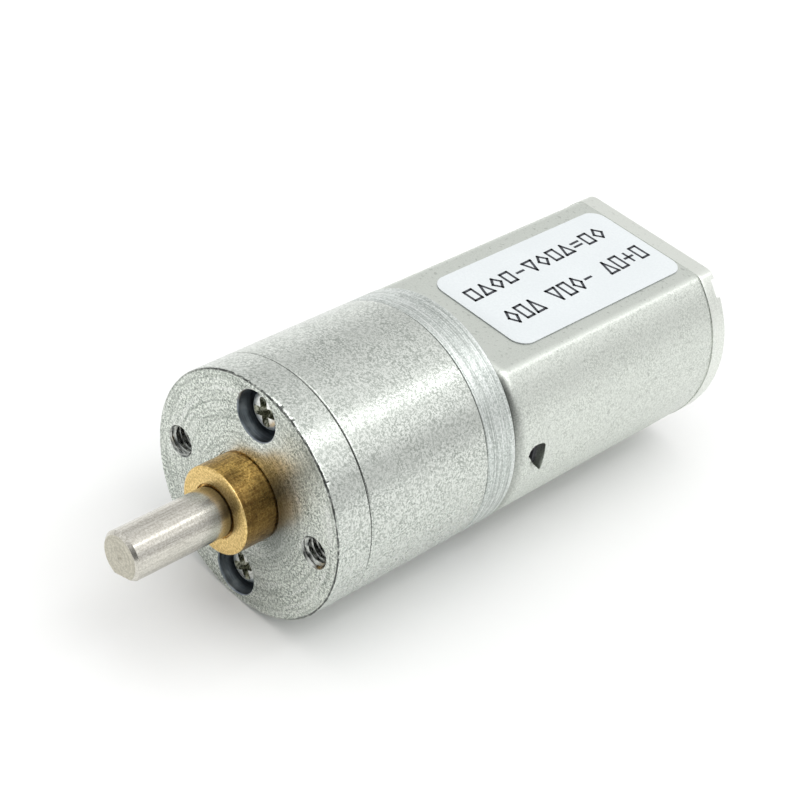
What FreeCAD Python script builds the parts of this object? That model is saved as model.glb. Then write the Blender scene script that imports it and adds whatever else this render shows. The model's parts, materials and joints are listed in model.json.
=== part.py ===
import FreeCAD, Part
import math
import os

from FreeCAD import Vector

# Geared DC motor: a 20 mm round spur gearbox on a flat-sided 20 x 15 mm motor.
# Millimetres. The common axis of the output shaft and the rotor is Y:
# the output shaft points along -Y, the motor is towards +Y, +Z is the upper
# flat of the motor. The origin is the centre of the mounting face.

# ---------------------------------------------------------------- dimensions
# gearbox shell
BOX_R = 10.0            # outer radius of the three gearbox sections
PLATE_Y1 = 3.25          # front plate: mounting face at 0, back face here
CASE_Y1 = 15.4          # gear case: from the plate to here
REAR_Y1 = 18.5          # rear plate: from the case to here, the motor's seat
CASE_BORE_R = 8.4       # gear space
COLUMN_R = 1.7          # screw columns that run down the gear space
EDGE = 0.14             # broken outer edge of the mounting face
SEAM = 0.09             # small edge breaks either side of each seam

# mounting face
FACE_HOLE_PITCH = 15.0  # spacing of both hole pairs, across the axis
M25_MINOR_R = 1.04      # tapped M2.5 hole, thread crests
M25_CHAMFER_R = 1.32
CBORE_R = 2.0           # counterbore of the cover screws
CBORE_DEPTH = 2.0
CBORE_CHAMFER = 0.12

# cover screws, two long pan-head M2 screws through the whole gearbox
SCREW_HEAD_R = 1.62
SCREW_HEAD_H = 1.2
SCREW_R = 0.98
SCREW_CLEAR_R = 1.08
SCREW_END_Y = 17.9

# output bush and shaft
BUSH_R = 3.5
BUSH_TIP_Y = -3.0
BUSH_SEAT = 0.15        # its shoulder sits this deep in the mounting face
BUSH_SPIGOT_R = 3.2     # the part pressed in the plate
BUSH_BORE_R = 1.83
BUSH_MOUTH_R = 2.15     # recess at the tip, round the shaft's shoulder
BUSH_MOUTH_DEPTH = 0.2
SHAFT_R = 2.0
SHOULDER_Y = -2.85      # the shaft is thinner behind this shoulder
JOURNAL_R = 1.8
SHAFT_TIP_Y = -11.6
SHAFT_TIP_CHAMFER = 0.25
FLAT_DEPTH_R = 1.5      # distance of the D-flat from the axis
FLAT_END_Y = SHOULDER_Y
FLAT_TURN = 18.0        # flat's normal, degrees from -Z towards +X
THRUST_WASHER_T = 0.4

# gear train
MODULE = 0.25
PRESSURE = 20.0
CENTRE = 4.5            # every centre distance
PIN_ANGLE = 30.0        # the two gear pins sit this far either side of +X
PIN_R = 0.6
GEAR_BORE_R = 0.63      # compound gears run on the pins
SPIGOT_R = 0.95         # pinion spigot pressed in its wheel
PIN_Y0 = 1.9
PIN_Y1 = 17.3
BACKLASH = 0.032        # at each mesh, along the pitch line
GEAR_T = 1.8            # tooth width of a wheel
PLANE_PITCH = 2.2
PLANE5_Y0 = 3.95        # front face of the output wheel
Z_WHEEL, Z_PINION, SHIFT = 26, 10, 0.41
Z_FIRST, Z_MOTOR, SHIFT_M = 24, 12, 0.32
SLEEVE_R = 0.95

# motor
CAN_R = 9.95            # side arcs
CAN_HALF = 7.5          # half distance across the flats
CAN_WALL = 0.8
CAN_FRONT_R = 1.05      # drawn corner at the front end
CAN_CORNER_R = 1.1      # bend between each flat and the side arcs
CAN_Y1 = 44.4           # rear rim
RIM_LEN = 1.6          # calibrated band at the rear rim
RIM_STEP = 0.06
BOSS_R = 3.1            # front bearing boss, sits in the rear plate
BOSS_Y0 = 17.0
ROTOR_SHAFT_R = 0.75
ROTOR_BORE_R = 0.775
ROTOR_SHAFT_Y0 = 12.5
ROTOR_SHAFT_Y1 = 45.0
VENT_Y0, VENT_Y1 = 20.05, 21.97   # one vent in each side arc
VENT_S0, VENT_S1 = -1.16, 1.78    # its ends, along the arc
NOTCH_A0, NOTCH_A1 = 35.0, 44.5
NOTCH_DEPTH = 0.5
MAGNET_R0 = 6.35
MAGNET_Y0, MAGNET_Y1 = 21.6, 36.4
CORE_R = 5.95
CORE_Y0, CORE_Y1 = 23.8, 34.4
CAP_FACE_Y = 43.75      # outside face of the end cap
CAP_T = 2.3
CAP_BOSS_R = 3.1
CAP_BOSS_Y1 = 46.0
BEARING_R = 2.2
TAB_X = 6.3
TAB_T = 0.4
TAB_W = 2.2
TAB_Y1 = 46.9
MOTOR_SCREW_X = 6.0

# label on the upper flat
LABEL_X0, LABEL_X1 = -5.0, 5.2
LABEL_Y0, LABEL_Y1 = 22.6, 42.6
LABEL_R = 1.4
LABEL_T = 0.09

YAX = Vector(0, 1, 0)


# ------------------------------------------------------------------ helpers
def cyl(r, y0, y1, x=0.0, z=0.0):
    return Part.makeCylinder(r, y1 - y0, Vector(x, y0, z), YAX)


def ring(r1, r0, y0, y1, x=0.0, z=0.0):
    return cyl(r1, y0, y1, x, z).cut(cyl(r0, y0 - 1, y1 + 1, x, z))


def box(x0, x1, y0, y1, z0, z1):
    return Part.makeBox(x1 - x0, y1 - y0, z1 - z0, Vector(x0, y0, z0))


def cone(r0, r1, y0, y1, x=0.0, z=0.0):
    return Part.makeCone(r0, r1, y1 - y0, Vector(x, y0, z), YAX)


def lathe(points, x=0.0, z=0.0):
    # a solid of revolution about a line along Y; points are (radius, y)
    pts = [Vector(r, y, 0) for r, y in points]
    pts.append(pts[0])
    face = Part.Face(Part.makePolygon(pts))
    solid = face.revolve(Vector(0, 0, 0), YAX, 360)
    solid.translate(Vector(x, 0, z))
    return solid


def polar(r, deg):
    a = math.radians(deg)
    return r * math.cos(a), r * math.sin(a)


def sector(r0, r1, a0, a1, y0, y1):
    # part of a ring between two polar angles in the X-Z plane
    am = 0.5 * (a0 + a1)
    p = [polar(r0, a0), polar(r1, a0), polar(r1, am), polar(r1, a1),
         polar(r0, a1), polar(r0, am)]
    v = [Vector(a, y0, b) for a, b in p]
    edges = [
        Part.LineSegment(v[0], v[1]).toShape(),
        Part.Arc(v[1], v[2], v[3]).toShape(),
        Part.LineSegment(v[3], v[4]).toShape(),
        Part.Arc(v[4], v[5], v[0]).toShape(),
    ]
    return Part.Face(Part.Wire(edges)).extrude(Vector(0, y1 - y0, 0))


def can_profile(radius, half, y, corner=0.0):
    # two side arcs joined by the upper and lower flats, the four bends
    # between them sharp or of the given radius
    xf = math.sqrt((radius - corner) ** 2 - (half - corner) ** 2)
    zc = half - corner
    k = radius / (radius - corner)
    bend = 0.5 * (math.atan2(zc, xf) + math.pi / 2)
    bx, bz = xf + corner * math.cos(bend), zc + corner * math.sin(bend)

    def pt(x, z):
        return Vector(x, y, z)

    edges = [Part.LineSegment(pt(xf, half), pt(-xf, half)).toShape()]
    if corner:
        edges.append(Part.Arc(pt(-xf, half), pt(-bx, bz), pt(-xf * k, zc * k)).toShape())
    edges.append(Part.Arc(pt(-xf * k, zc * k), pt(-radius, 0), pt(-xf * k, -zc * k)).toShape())
    if corner:
        edges.append(Part.Arc(pt(-xf * k, -zc * k), pt(-bx, -bz), pt(-xf, -half)).toShape())
    edges.append(Part.LineSegment(pt(-xf, -half), pt(xf, -half)).toShape())
    if corner:
        edges.append(Part.Arc(pt(xf, -half), pt(bx, -bz), pt(xf * k, -zc * k)).toShape())
    edges.append(Part.Arc(pt(xf * k, -zc * k), pt(radius, 0), pt(xf * k, zc * k)).toShape())
    if corner:
        edges.append(Part.Arc(pt(xf * k, zc * k), pt(bx, bz), pt(xf, half)).toShape())
    return Part.Face(Part.Wire(edges))


def can_prism(radius, half, y0, y1, corner=0.0):
    return can_profile(radius, half, y0, corner).extrude(Vector(0, y1 - y0, 0))


def soften(solid, radius, wanted):
    # rounds the edges that the test picks out
    edges = [e for e in solid.Edges if wanted(e)]
    if not edges:
        raise ValueError("no edge to soften")
    return solid.makeFillet(radius, edges)


def ring_edge(radius, y, tol=1e-3):
    # picks out the circle of that radius about the main axis at that y
    def test(e):
        c = e.Curve
        return (isinstance(c, Part.Circle) and abs(c.Radius - radius) < tol
                and abs(c.Center.y - y) < tol
                and math.hypot(c.Center.x, c.Center.z) < tol)
    return test


def tidy(shape):
    shape = shape.removeSplitter()
    solids = shape.Solids
    return solids[0] if len(solids) == 1 else Part.makeCompound(solids)


# -------------------------------------------------------------------- gears
def inv(a):
    return math.tan(a) - a


def gear_face(z, shift, phase, y, cx=0.0, cz=0.0):
    # involute gear outline in the X-Z plane; phase is the polar angle, in
    # radians, of one tooth's centre line
    alpha = math.radians(PRESSURE)
    rp = MODULE * z / 2.0
    rb = rp * math.cos(alpha)
    ra = rp + MODULE * (1.0 + shift)
    rf = rp - MODULE * (1.25 - shift)
    s = MODULE * (math.pi / 2 + 2 * shift * math.tan(alpha)) - BACKLASH / 2
    half = s / (2 * rp) + inv(alpha)          # half tooth angle at the base

    def flank(r):
        r = max(r, rb)
        return half - inv(math.acos(min(1.0, rb / r)))

    def pt(r, a):
        return Vector(cx + r * math.cos(a), y, cz + r * math.sin(a))

    step = 2 * math.pi / z
    r_lo = max(rb, rf)
    r_mid = 0.5 * (r_lo + ra)
    edges = []
    for i in range(z):
        c = phase + i * step
        root0 = pt(rf, c - half)
        base0 = pt(r_lo, c - flank(r_lo))
        tip0 = pt(ra, c - flank(ra))
        tip1 = pt(ra, c + flank(ra))
        base1 = pt(r_lo, c + flank(r_lo))
        root1 = pt(rf, c + half)
        nxt = pt(rf, c + step - half)
        edges.append(Part.LineSegment(root0, base0).toShape())
        edges.append(Part.Arc(base0, pt(r_mid, c - flank(r_mid)), tip0).toShape())
        edges.append(Part.Arc(tip0, pt(ra, c), tip1).toShape())
        edges.append(Part.Arc(tip1, pt(r_mid, c + flank(r_mid)), base1).toShape())
        edges.append(Part.LineSegment(base1, root1).toShape())
        edges.append(Part.Arc(root1, pt(rf, c + 0.5 * step), nxt).toShape())
    return Part.Face(Part.Wire(edges))


def gear(z, shift, phase, y0, y1, cx=0.0, cz=0.0):
    return gear_face(z, shift, phase, y0, cx, cz).extrude(Vector(0, y1 - y0, 0))


def mate_phase(z1, phase1, c1, z2, c2):
    # phase of gear 2 so that its gaps meet the teeth of gear 1
    theta = math.atan2(c2[1] - c1[1], c2[0] - c1[0])
    u1 = z1 * (phase1 - theta) / (2 * math.pi)
    return theta + math.pi + (2 * math.pi / z2) * (0.5 - u1)


def plane_y(k):
    # front face of tooth plane k; plane 5 is the output wheel's, at the front
    return PLANE5_Y0 + (5 - k) * PLANE_PITCH


PIN_A = polar(CENTRE, PIN_ANGLE)
PIN_B = polar(CENTRE, -PIN_ANGLE)
AXIS = (0.0, 0.0)

nodes = {}

# output wheel on the main axis, driven by the front pinion on pin B
ph_out = math.radians(4.0)
ph_b2p = mate_phase(Z_WHEEL, ph_out, AXIS, Z_PINION, PIN_B)
ph_b2w = ph_b2p
ph_a2p = mate_phase(Z_WHEEL, ph_b2w, PIN_B, Z_PINION, PIN_A)
ph_a2w = ph_a2p
ph_b1p = mate_phase(Z_WHEEL, ph_a2w, PIN_A, Z_PINION, PIN_B)
ph_b1w = ph_b1p
ph_a1p = mate_phase(Z_WHEEL, ph_b1w, PIN_B, Z_PINION, PIN_A)
ph_a1w = ph_a1p
ph_rot = mate_phase(Z_FIRST, ph_a1w, PIN_A, Z_MOTOR, AXIS)


def wheel(z, shift, phase, plane, centre):
    # a wheel with a turned recess in each face and a short hub at the back
    y0 = plane_y(plane)
    y1 = y0 + GEAR_T
    w = gear(z, shift, phase, y0, y1, *centre)
    rf = MODULE * z / 2 - MODULE * (1.25 + abs(shift))
    w = w.cut(ring(rf - 0.45, 1.35, y1 - 0.35, y1 + 1, *centre))
    w = w.fuse(cyl(1.3, y1 - 0.5, y1 + 0.12, *centre))
    return w.cut(cyl(SPIGOT_R, y0 - 1, y1 + 1, *centre))


def compound(name, z, shift, phase_w, phase_p, plane, centre):
    nodes[name + "_wheel"] = tidy(wheel(z, shift, phase_w, plane, centre))
    y0 = plane_y(plane)
    front = plane_y(plane + 1) - 0.1
    p = gear(Z_PINION, SHIFT, phase_p, front, y0, *centre)
    p = p.fuse(cyl(SPIGOT_R, y0 - 0.1, y0 + GEAR_T + 0.12, *centre))
    p = p.cut(cyl(GEAR_BORE_R, front - 1, y0 + GEAR_T + 2, *centre))
    nodes[name + "_pinion"] = tidy(p)


compound("first_gear", Z_FIRST, -SHIFT_M, ph_a1w, ph_a1p, 1, PIN_A)
compound("second_gear", Z_WHEEL, -SHIFT, ph_b1w, ph_b1p, 2, PIN_B)
compound("third_gear", Z_WHEEL, -SHIFT, ph_a2w, ph_a2p, 3, PIN_A)
compound("fourth_gear", Z_WHEEL, -SHIFT, ph_b2w, ph_b2p, 4, PIN_B)

out_y0 = plane_y(5)
out_y1 = out_y0 + GEAR_T
w = gear(Z_WHEEL, -SHIFT, ph_out, out_y0, out_y1)
nodes["output_gear"] = tidy(w.cut(cyl(JOURNAL_R, out_y0 - 1, out_y1 + 1)))

rotor_pinion_y0 = plane_y(1) - 0.2
p = gear(Z_MOTOR, SHIFT_M, ph_rot, rotor_pinion_y0, 16.2)
nodes["motor_pinion"] = tidy(p.cut(cyl(ROTOR_SHAFT_R, 10, 20)))

# pins, and what spaces the gears along them
nodes["gear_pin_upper"] = lathe([(0, PIN_Y0), (PIN_R - 0.1, PIN_Y0), (PIN_R, PIN_Y0 + 0.1),
                                 (PIN_R, PIN_Y1 - 0.1), (PIN_R - 0.1, PIN_Y1), (0, PIN_Y1)], *PIN_A)
nodes["gear_pin_lower"] = lathe([(0, PIN_Y0), (PIN_R - 0.1, PIN_Y0), (PIN_R, PIN_Y0 + 0.1),
                                 (PIN_R, PIN_Y1 - 0.1), (PIN_R - 0.1, PIN_Y1), (0, PIN_Y1)], *PIN_B)
third_front = plane_y(4) - 0.1
nodes["pin_sleeve_upper"] = tidy(ring(SLEEVE_R, PIN_R + 0.02, PLATE_Y1, third_front - 0.1, *PIN_A))
second_back = plane_y(2) + GEAR_T + 0.12
nodes["pin_sleeve_lower"] = tidy(ring(SLEEVE_R, PIN_R + 0.02, second_back + 0.1, CASE_Y1, *PIN_B))
first_back = plane_y(1) + GEAR_T + 0.12
fourth_front = plane_y(5) - 0.1
nodes["pin_shims"] = Part.makeCompound([
    tidy(ring(1.25, PIN_R + 0.02, first_back + 0.1, CASE_Y1, *PIN_A)),
    tidy(ring(1.05, PIN_R + 0.02, PLATE_Y1, fourth_front - 0.1, *PIN_B)),
])
nodes["thrust_washer"] = tidy(ring(3.2, JOURNAL_R + 0.04, PLATE_Y1, PLATE_Y1 + THRUST_WASHER_T))

# ------------------------------------------------------------ output shaft
shaft = lathe([
    (0, SHAFT_TIP_Y), (SHAFT_R - SHAFT_TIP_CHAMFER, SHAFT_TIP_Y),
    (SHAFT_R, SHAFT_TIP_Y + SHAFT_TIP_CHAMFER), (SHAFT_R, SHOULDER_Y),
    (JOURNAL_R, SHOULDER_Y), (JOURNAL_R, out_y1 - 0.1),
    (JOURNAL_R - 0.1, out_y1), (0, out_y1)])
a = math.radians(FLAT_TURN)
slab = box(-4, 4, SHAFT_TIP_Y - 1, FLAT_END_Y, -4, -FLAT_DEPTH_R)
slab.rotate(Vector(0, 0, 0), YAX, -FLAT_TURN)
shaft = shaft.cut(slab)
# turned centre in the end face
shaft = shaft.cut(cone(0.22, 0.02, SHAFT_TIP_Y, SHAFT_TIP_Y + 0.2))
nodes["output_shaft"] = tidy(shaft)

# -------------------------------------------------------------- output bush
nodes["output_bush"] = tidy(lathe([
    (BUSH_MOUTH_R, BUSH_TIP_Y), (BUSH_R - 0.12, BUSH_TIP_Y),
    (BUSH_R, BUSH_TIP_Y + 0.12), (BUSH_R, BUSH_SEAT),
    (BUSH_SPIGOT_R, BUSH_SEAT), (BUSH_SPIGOT_R, PLATE_Y1),
    (BUSH_BORE_R, PLATE_Y1), (BUSH_BORE_R, BUSH_TIP_Y + BUSH_MOUTH_DEPTH),
    (BUSH_MOUTH_R, BUSH_TIP_Y + BUSH_MOUTH_DEPTH)]))

# -------------------------------------------------------------- front plate
plate = cyl(BOX_R, 0, PLATE_Y1)
plate = soften(plate, EDGE, ring_edge(BOX_R, 0))
plate = soften(plate, SEAM, ring_edge(BOX_R, PLATE_Y1))
plate = plate.cut(cyl(BUSH_SPIGOT_R, -1, PLATE_Y1 + 1))
plate = plate.cut(cyl(BUSH_R + 0.12, -1, BUSH_SEAT))
half = FACE_HOLE_PITCH / 2
for sz in (half, -half):
    plate = plate.cut(cyl(CBORE_R, -1, CBORE_DEPTH, 0, sz))
    plate = plate.cut(cyl(SCREW_CLEAR_R, 0, PLATE_Y1 + 1, 0, sz))
    plate = plate.cut(cone(CBORE_R + CBORE_CHAMFER, CBORE_R, 0, CBORE_CHAMFER, 0, sz))
for sx in (half, -half):
    plate = plate.cut(cyl(M25_MINOR_R, -1, PLATE_Y1 + 1, sx, 0))
    d = M25_CHAMFER_R - M25_MINOR_R
    plate = plate.cut(cone(M25_CHAMFER_R, M25_MINOR_R, 0, d, sx, 0))
for c in (PIN_A, PIN_B):
    plate = plate.cut(cyl(PIN_R, PIN_Y0, PLATE_Y1 + 1, *c))
nodes["front_plate"] = tidy(plate)

# ---------------------------------------------------------------- gear case
case = cyl(BOX_R, PLATE_Y1, CASE_Y1)
case = soften(case, SEAM, ring_edge(BOX_R, PLATE_Y1))
case = soften(case, SEAM, ring_edge(BOX_R, CASE_Y1))
space = cyl(CASE_BORE_R, PLATE_Y1 - 1, CASE_Y1 + 1)
for sz in (half, -half):
    space = space.cut(cyl(COLUMN_R, PLATE_Y1 - 2, CASE_Y1 + 2, 0, sz))
case = case.cut(space)
for sz in (half, -half):
    case = case.cut(cyl(SCREW_CLEAR_R, PLATE_Y1 - 1, CASE_Y1 + 1, 0, sz))
nodes["gear_case"] = tidy(case)

# --------------------------------------------------------------- rear plate
rear = cyl(BOX_R, CASE_Y1, REAR_Y1)
rear = soften(rear, SEAM, ring_edge(BOX_R, CASE_Y1))
rear = soften(rear, 0.15, ring_edge(BOX_R, REAR_Y1))
rear = rear.cut(cyl(2.2, CASE_Y1 - 1, REAR_Y1 + 1))
rear = rear.cut(cyl(BOSS_R + 0.03, BOSS_Y0 - 0.05, REAR_Y1 + 1))
for sz in (half, -half):
    rear = rear.cut(cyl(SCREW_R, CASE_Y1 - 1, SCREW_END_Y + 0.3, 0, sz))
for sx in (MOTOR_SCREW_X, -MOTOR_SCREW_X):
    rear = rear.cut(cyl(1.02, CASE_Y1 - 1, REAR_Y1 + 1, sx, 0))
    rear = rear.cut(cyl(1.75, CASE_Y1 - 1, CASE_Y1 + 1.2, sx, 0))
for c in (PIN_A, PIN_B):
    rear = rear.cut(cyl(PIN_R, CASE_Y1 - 1, PIN_Y1, *c))
nodes["rear_plate"] = tidy(rear)


# ------------------------------------------------------------------- screws
def cross_recess(y, depth, x, z):
    # a cruciform recess, tapering towards its floor
    cut = None
    for turn in (0, 90):
        lo = Part.makePolygon([Vector(-0.92, y, -0.19), Vector(0.92, y, -0.19),
                               Vector(0.92, y, 0.19), Vector(-0.92, y, 0.19),
                               Vector(-0.92, y, -0.19)])
        hi = Part.makePolygon([Vector(-0.42, y + depth, -0.13), Vector(0.42, y + depth, -0.13),
                               Vector(0.42, y + depth, 0.13), Vector(-0.42, y + depth, 0.13),
                               Vector(-0.42, y + depth, -0.13)])
        arm = Part.makeLoft([lo, hi], True, True)
        arm.rotate(Vector(0, y, 0), YAX, turn + 22.5)
        cut = arm if cut is None else cut.fuse(arm)
    cut.translate(Vector(x, 0, z))
    return cut


def pan_screw(x, z, y_seat, head_r, head_h, r, y_end):
    # pan head with a cross recess, plain shank of the thread's size
    y_top = y_seat - head_h
    body = lathe([
        (0, y_top), (head_r * 0.62, y_top + 0.02), (head_r * 0.86, y_top + 0.14),
        (head_r * 0.97, y_top + 0.34), (head_r, y_top + 0.6), (head_r, y_seat),
        (r, y_seat), (r, y_end - 0.25), (r - 0.25, y_end), (0, y_end)], x, z)
    return tidy(body.cut(cross_recess(y_top - 0.02, 0.62, x, z)))


nodes["cover_screws"] = Part.makeCompound([
    pan_screw(0, half, CBORE_DEPTH, SCREW_HEAD_R, SCREW_HEAD_H, SCREW_R, SCREW_END_Y),
    pan_screw(0, -half, CBORE_DEPTH, SCREW_HEAD_R, SCREW_HEAD_H, SCREW_R, SCREW_END_Y)])
nodes["motor_screws"] = Part.makeCompound([
    pan_screw(MOTOR_SCREW_X, 0, CASE_Y1 + 1.2, 1.6, 0.95, 0.98, 20.2),
    pan_screw(-MOTOR_SCREW_X, 0, CASE_Y1 + 1.2, 1.6, 0.95, 0.98, 20.2)])

# ---------------------------------------------------------------- motor can
can = can_prism(CAN_R, CAN_HALF, REAR_Y1, CAN_Y1, CAN_CORNER_R)
can = soften(can, CAN_FRONT_R, lambda e: abs(e.BoundBox.YMax - REAR_Y1) < 1e-4)
band = can_prism(CAN_R + RIM_STEP, CAN_HALF, CAN_Y1 - RIM_LEN, CAN_Y1, CAN_CORNER_R)
band = band.makeChamfer(0.05, [e for e in band.Edges if e.BoundBox.YMax - e.BoundBox.YMin < 1e-4])
can = can.fuse(band)
can = can.cut(can_prism(CAN_R - CAN_WALL, CAN_HALF - CAN_WALL, REAR_Y1 + CAN_WALL, CAN_Y1 + 1))
can = can.fuse(cyl(BOSS_R, BOSS_Y0, REAR_Y1 + CAN_WALL))
can = can.cut(cyl(BEARING_R, BOSS_Y0 + 0.5, REAR_Y1 + 2))
can = can.cut(cyl(1.3, BOSS_Y0 - 1, REAR_Y1 + 2))
for sx in (MOTOR_SCREW_X, -MOTOR_SCREW_X):
    can = can.cut(cyl(0.98, REAR_Y1 - 1, REAR_Y1 + CAN_WALL + 0.1, sx, 0))
# one vent through each side arc, near the front corner: straight along its
# rear edge, slanting at the front, rounded at the upper end
x0 = CAN_R - 2.4
v = [Vector(x0, VENT_Y1, VENT_S0), Vector(x0, VENT_Y1, VENT_S1 - 0.28),
     Vector(x0, VENT_Y1 - 0.35, VENT_S1 - 0.07), Vector(x0, VENT_Y0 + 0.62, VENT_S1 - 0.04),
     Vector(x0, VENT_Y0, VENT_S1 - 0.66)]
vent = Part.Face(Part.Wire([
    Part.LineSegment(v[0], v[1]).toShape(), Part.LineSegment(v[1], v[2]).toShape(),
    Part.Arc(v[2], v[3], v[4]).toShape(),
    Part.LineSegment(v[4], v[0]).toShape()])).extrude(Vector(3.4, 0, 0))
can = can.cut(vent)
vent2 = vent.copy()
vent2.rotate(Vector(0, 0, 0), YAX, 180)
can = can.cut(vent2)
# the rim is notched where its lugs are pressed over the end cap
for a0, a1 in ((NOTCH_A0, NOTCH_A1), (180 - NOTCH_A1, 180 - NOTCH_A0),
               (180 + NOTCH_A0, 180 + NOTCH_A1), (360 - NOTCH_A1, 360 - NOTCH_A0)):
    can = can.cut(sector(CAN_R - CAN_WALL - 0.01, CAN_R + 1, a0, a1, CAN_Y1 - NOTCH_DEPTH, CAN_Y1 + 1))
    lug = sector(CAN_R - CAN_WALL - 0.75, CAN_R - 0.3, a0 + 0.6, a1 - 0.6,
                 CAP_FACE_Y, CAN_Y1 - NOTCH_DEPTH + 0.02)
    can = can.fuse(lug)
nodes["motor_can"] = tidy(can)

# ---------------------------------------------------- motor, fixed internals
nodes["front_bearing"] = tidy(lathe([
    (ROTOR_BORE_R, BOSS_Y0 + 0.5), (BEARING_R - 0.15, BOSS_Y0 + 0.5), (BEARING_R, BOSS_Y0 + 0.65),
    (BEARING_R, REAR_Y1 + 1.0), (BEARING_R - 0.15, REAR_Y1 + 1.15), (ROTOR_BORE_R, REAR_Y1 + 1.15)]))


def magnet(a0, a1):
    m = sector(MAGNET_R0, CAN_R - CAN_WALL, a0, a1, MAGNET_Y0, MAGNET_Y1)
    return tidy(m)


nodes["magnet_right"] = magnet(-44.5, 44.5)
nodes["magnet_left"] = magnet(180 - 44.5, 180 + 44.5)


def clip(s):
    # spring strip wedged between the two magnets under a flat
    inner = CAN_HALF - CAN_WALL
    z0, z1 = inner - 0.38, inner
    c = box(-7, 7, MAGNET_Y0 + 1.5, MAGNET_Y1 - 1.5, z0, z1)
    lim = Part.makePolygon([Vector(-z1, 0, z1), Vector(z1, 0, z1), Vector(0.02, 0, 0.02),
                            Vector(-0.02, 0, 0.02), Vector(-z1, 0, z1)])
    c = c.common(Part.Face(lim).extrude(Vector(0, 60, 0)))
    c = c.common(can_prism(CAN_R - CAN_WALL, CAN_HALF - CAN_WALL, 0, 60))
    # relieved waist, so the strip can spring
    c = c.cut(box(-2.2, 2.2, MAGNET_Y0 + 3.6, MAGNET_Y1 - 3.6, z0 - 1, z1 + 1))
    if s < 0:
        c.rotate(Vector(0, 0, 0), YAX, 180)
    return tidy(c)


nodes["magnet_clips"] = Part.makeCompound([clip(1), clip(-1)])

# --------------------------------------------------------------- end cap
cap_r, cap_h = CAN_R - CAN_WALL, CAN_HALF - CAN_WALL
cap = can_prism(cap_r, cap_h, CAP_FACE_Y - CAP_T, CAP_FACE_Y)
cap = soften(cap, 0.25, lambda e: abs(e.BoundBox.YMin - CAP_FACE_Y) < 1e-4)
skirt = can_prism(cap_r, cap_h, CAP_FACE_Y - CAP_T - 3.6, CAP_FACE_Y - CAP_T)
skirt = skirt.cut(can_prism(cap_r - 0.8, cap_h - 0.8, CAP_FACE_Y - CAP_T - 5, CAP_FACE_Y))
cap = cap.fuse(skirt)
boss = lathe([(0, CAP_FACE_Y - 0.5), (CAP_BOSS_R + 0.25, CAP_FACE_Y - 0.5),
              (CAP_BOSS_R + 0.25, CAP_FACE_Y), (CAP_BOSS_R, CAP_FACE_Y + 0.25),
              (CAP_BOSS_R, CAP_BOSS_Y1 - 0.3), (CAP_BOSS_R - 0.3, CAP_BOSS_Y1), (0, CAP_BOSS_Y1)])
cap = cap.fuse(boss)
cap = cap.cut(cyl(BEARING_R, 35, 45.0))
cap = cap.cut(cyl(1.1, 35, 45.45))
for s in (1, -1):
    x0, x1 = (TAB_X - TAB_T / 2, TAB_X + TAB_T / 2) if s > 0 else (-TAB_X - TAB_T / 2, -TAB_X + TAB_T / 2)
    cap = cap.cut(box(x0, x1, 35, 50, -TAB_W / 2, TAB_W / 2))
    # raised frame round each terminal slot
    fr = box(x0 - 0.45, x1 + 0.45, CAP_FACE_Y - 0.2, CAP_FACE_Y + 0.3, -TAB_W / 2 - 0.45, TAB_W / 2 + 0.45)
    fr = fr.cut(box(x0, x1, 35, 50, -TAB_W / 2, TAB_W / 2))
    cap = cap.fuse(fr)
    # brush window, and a shallow moulded pocket beside it
    cap = cap.cut(box(-1.3, 1.3, 35, 50, s * 4.9 - 0.55, s * 4.9 + 0.55))
    for sx in (1, -1):
        cap = cap.cut(cyl(0.65, CAP_FACE_Y - 0.35, CAP_FACE_Y + 1, sx * 4.6, s * 4.3))
nodes["end_cap"] = tidy(cap)

nodes["rear_bearing"] = tidy(lathe([
    (ROTOR_BORE_R, 42.6), (BEARING_R - 0.15, 42.6), (BEARING_R, 42.75),
    (BEARING_R, 44.85), (BEARING_R - 0.15, 45.0), (ROTOR_BORE_R, 45.0)]))

BRUSH_Y0, BRUSH_Y1 = 38.3, 40.3
BRUSH_Z1 = 3.2


def terminal(s):
    # solder tab through the end cap, and the leaf arm that carries its brush
    tab = box(TAB_X - TAB_T / 2, TAB_X + TAB_T / 2, CAP_FACE_Y - CAP_T - 0.3, TAB_Y1, -TAB_W / 2, TAB_W / 2)
    tab = tab.makeChamfer(0.5, [e for e in tab.Edges
                                if abs(e.BoundBox.YMin - TAB_Y1) < 1e-4
                                and e.BoundBox.XMax - e.BoundBox.XMin > TAB_T - 1e-3
                                and e.BoundBox.ZMax - e.BoundBox.ZMin < 1e-3])
    tab = tab.cut(Part.makeCylinder(0.42, 4, Vector(TAB_X - 2, TAB_Y1 - 1.15, 0), Vector(1, 0, 0)))
    post = box(TAB_X - TAB_T / 2, TAB_X - TAB_T / 2 + 0.25, BRUSH_Y0 + 0.2, CAP_FACE_Y - CAP_T,
               -TAB_W / 2, BRUSH_Z1 + 0.25)
    arm = box(-1.1, TAB_X, BRUSH_Y0 + 0.2, BRUSH_Y1 - 0.2, BRUSH_Z1, BRUSH_Z1 + 0.25)
    t = tab.fuse(post).fuse(arm)
    if s < 0:
        t.rotate(Vector(0, 0, 0), YAX, 180)
    return tidy(t)


nodes["terminal_right"] = terminal(1)
nodes["terminal_left"] = terminal(-1)


def brush(s):
    b = box(-0.8, 0.8, BRUSH_Y0, BRUSH_Y1, 1.4, BRUSH_Z1)
    b = b.cut(cyl(2.0, BRUSH_Y0 - 1, BRUSH_Y1 + 1))
    if s < 0:
        b.rotate(Vector(0, 0, 0), YAX, 180)
    return tidy(b)


nodes["brushes"] = Part.makeCompound([brush(1), brush(-1)])

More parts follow.
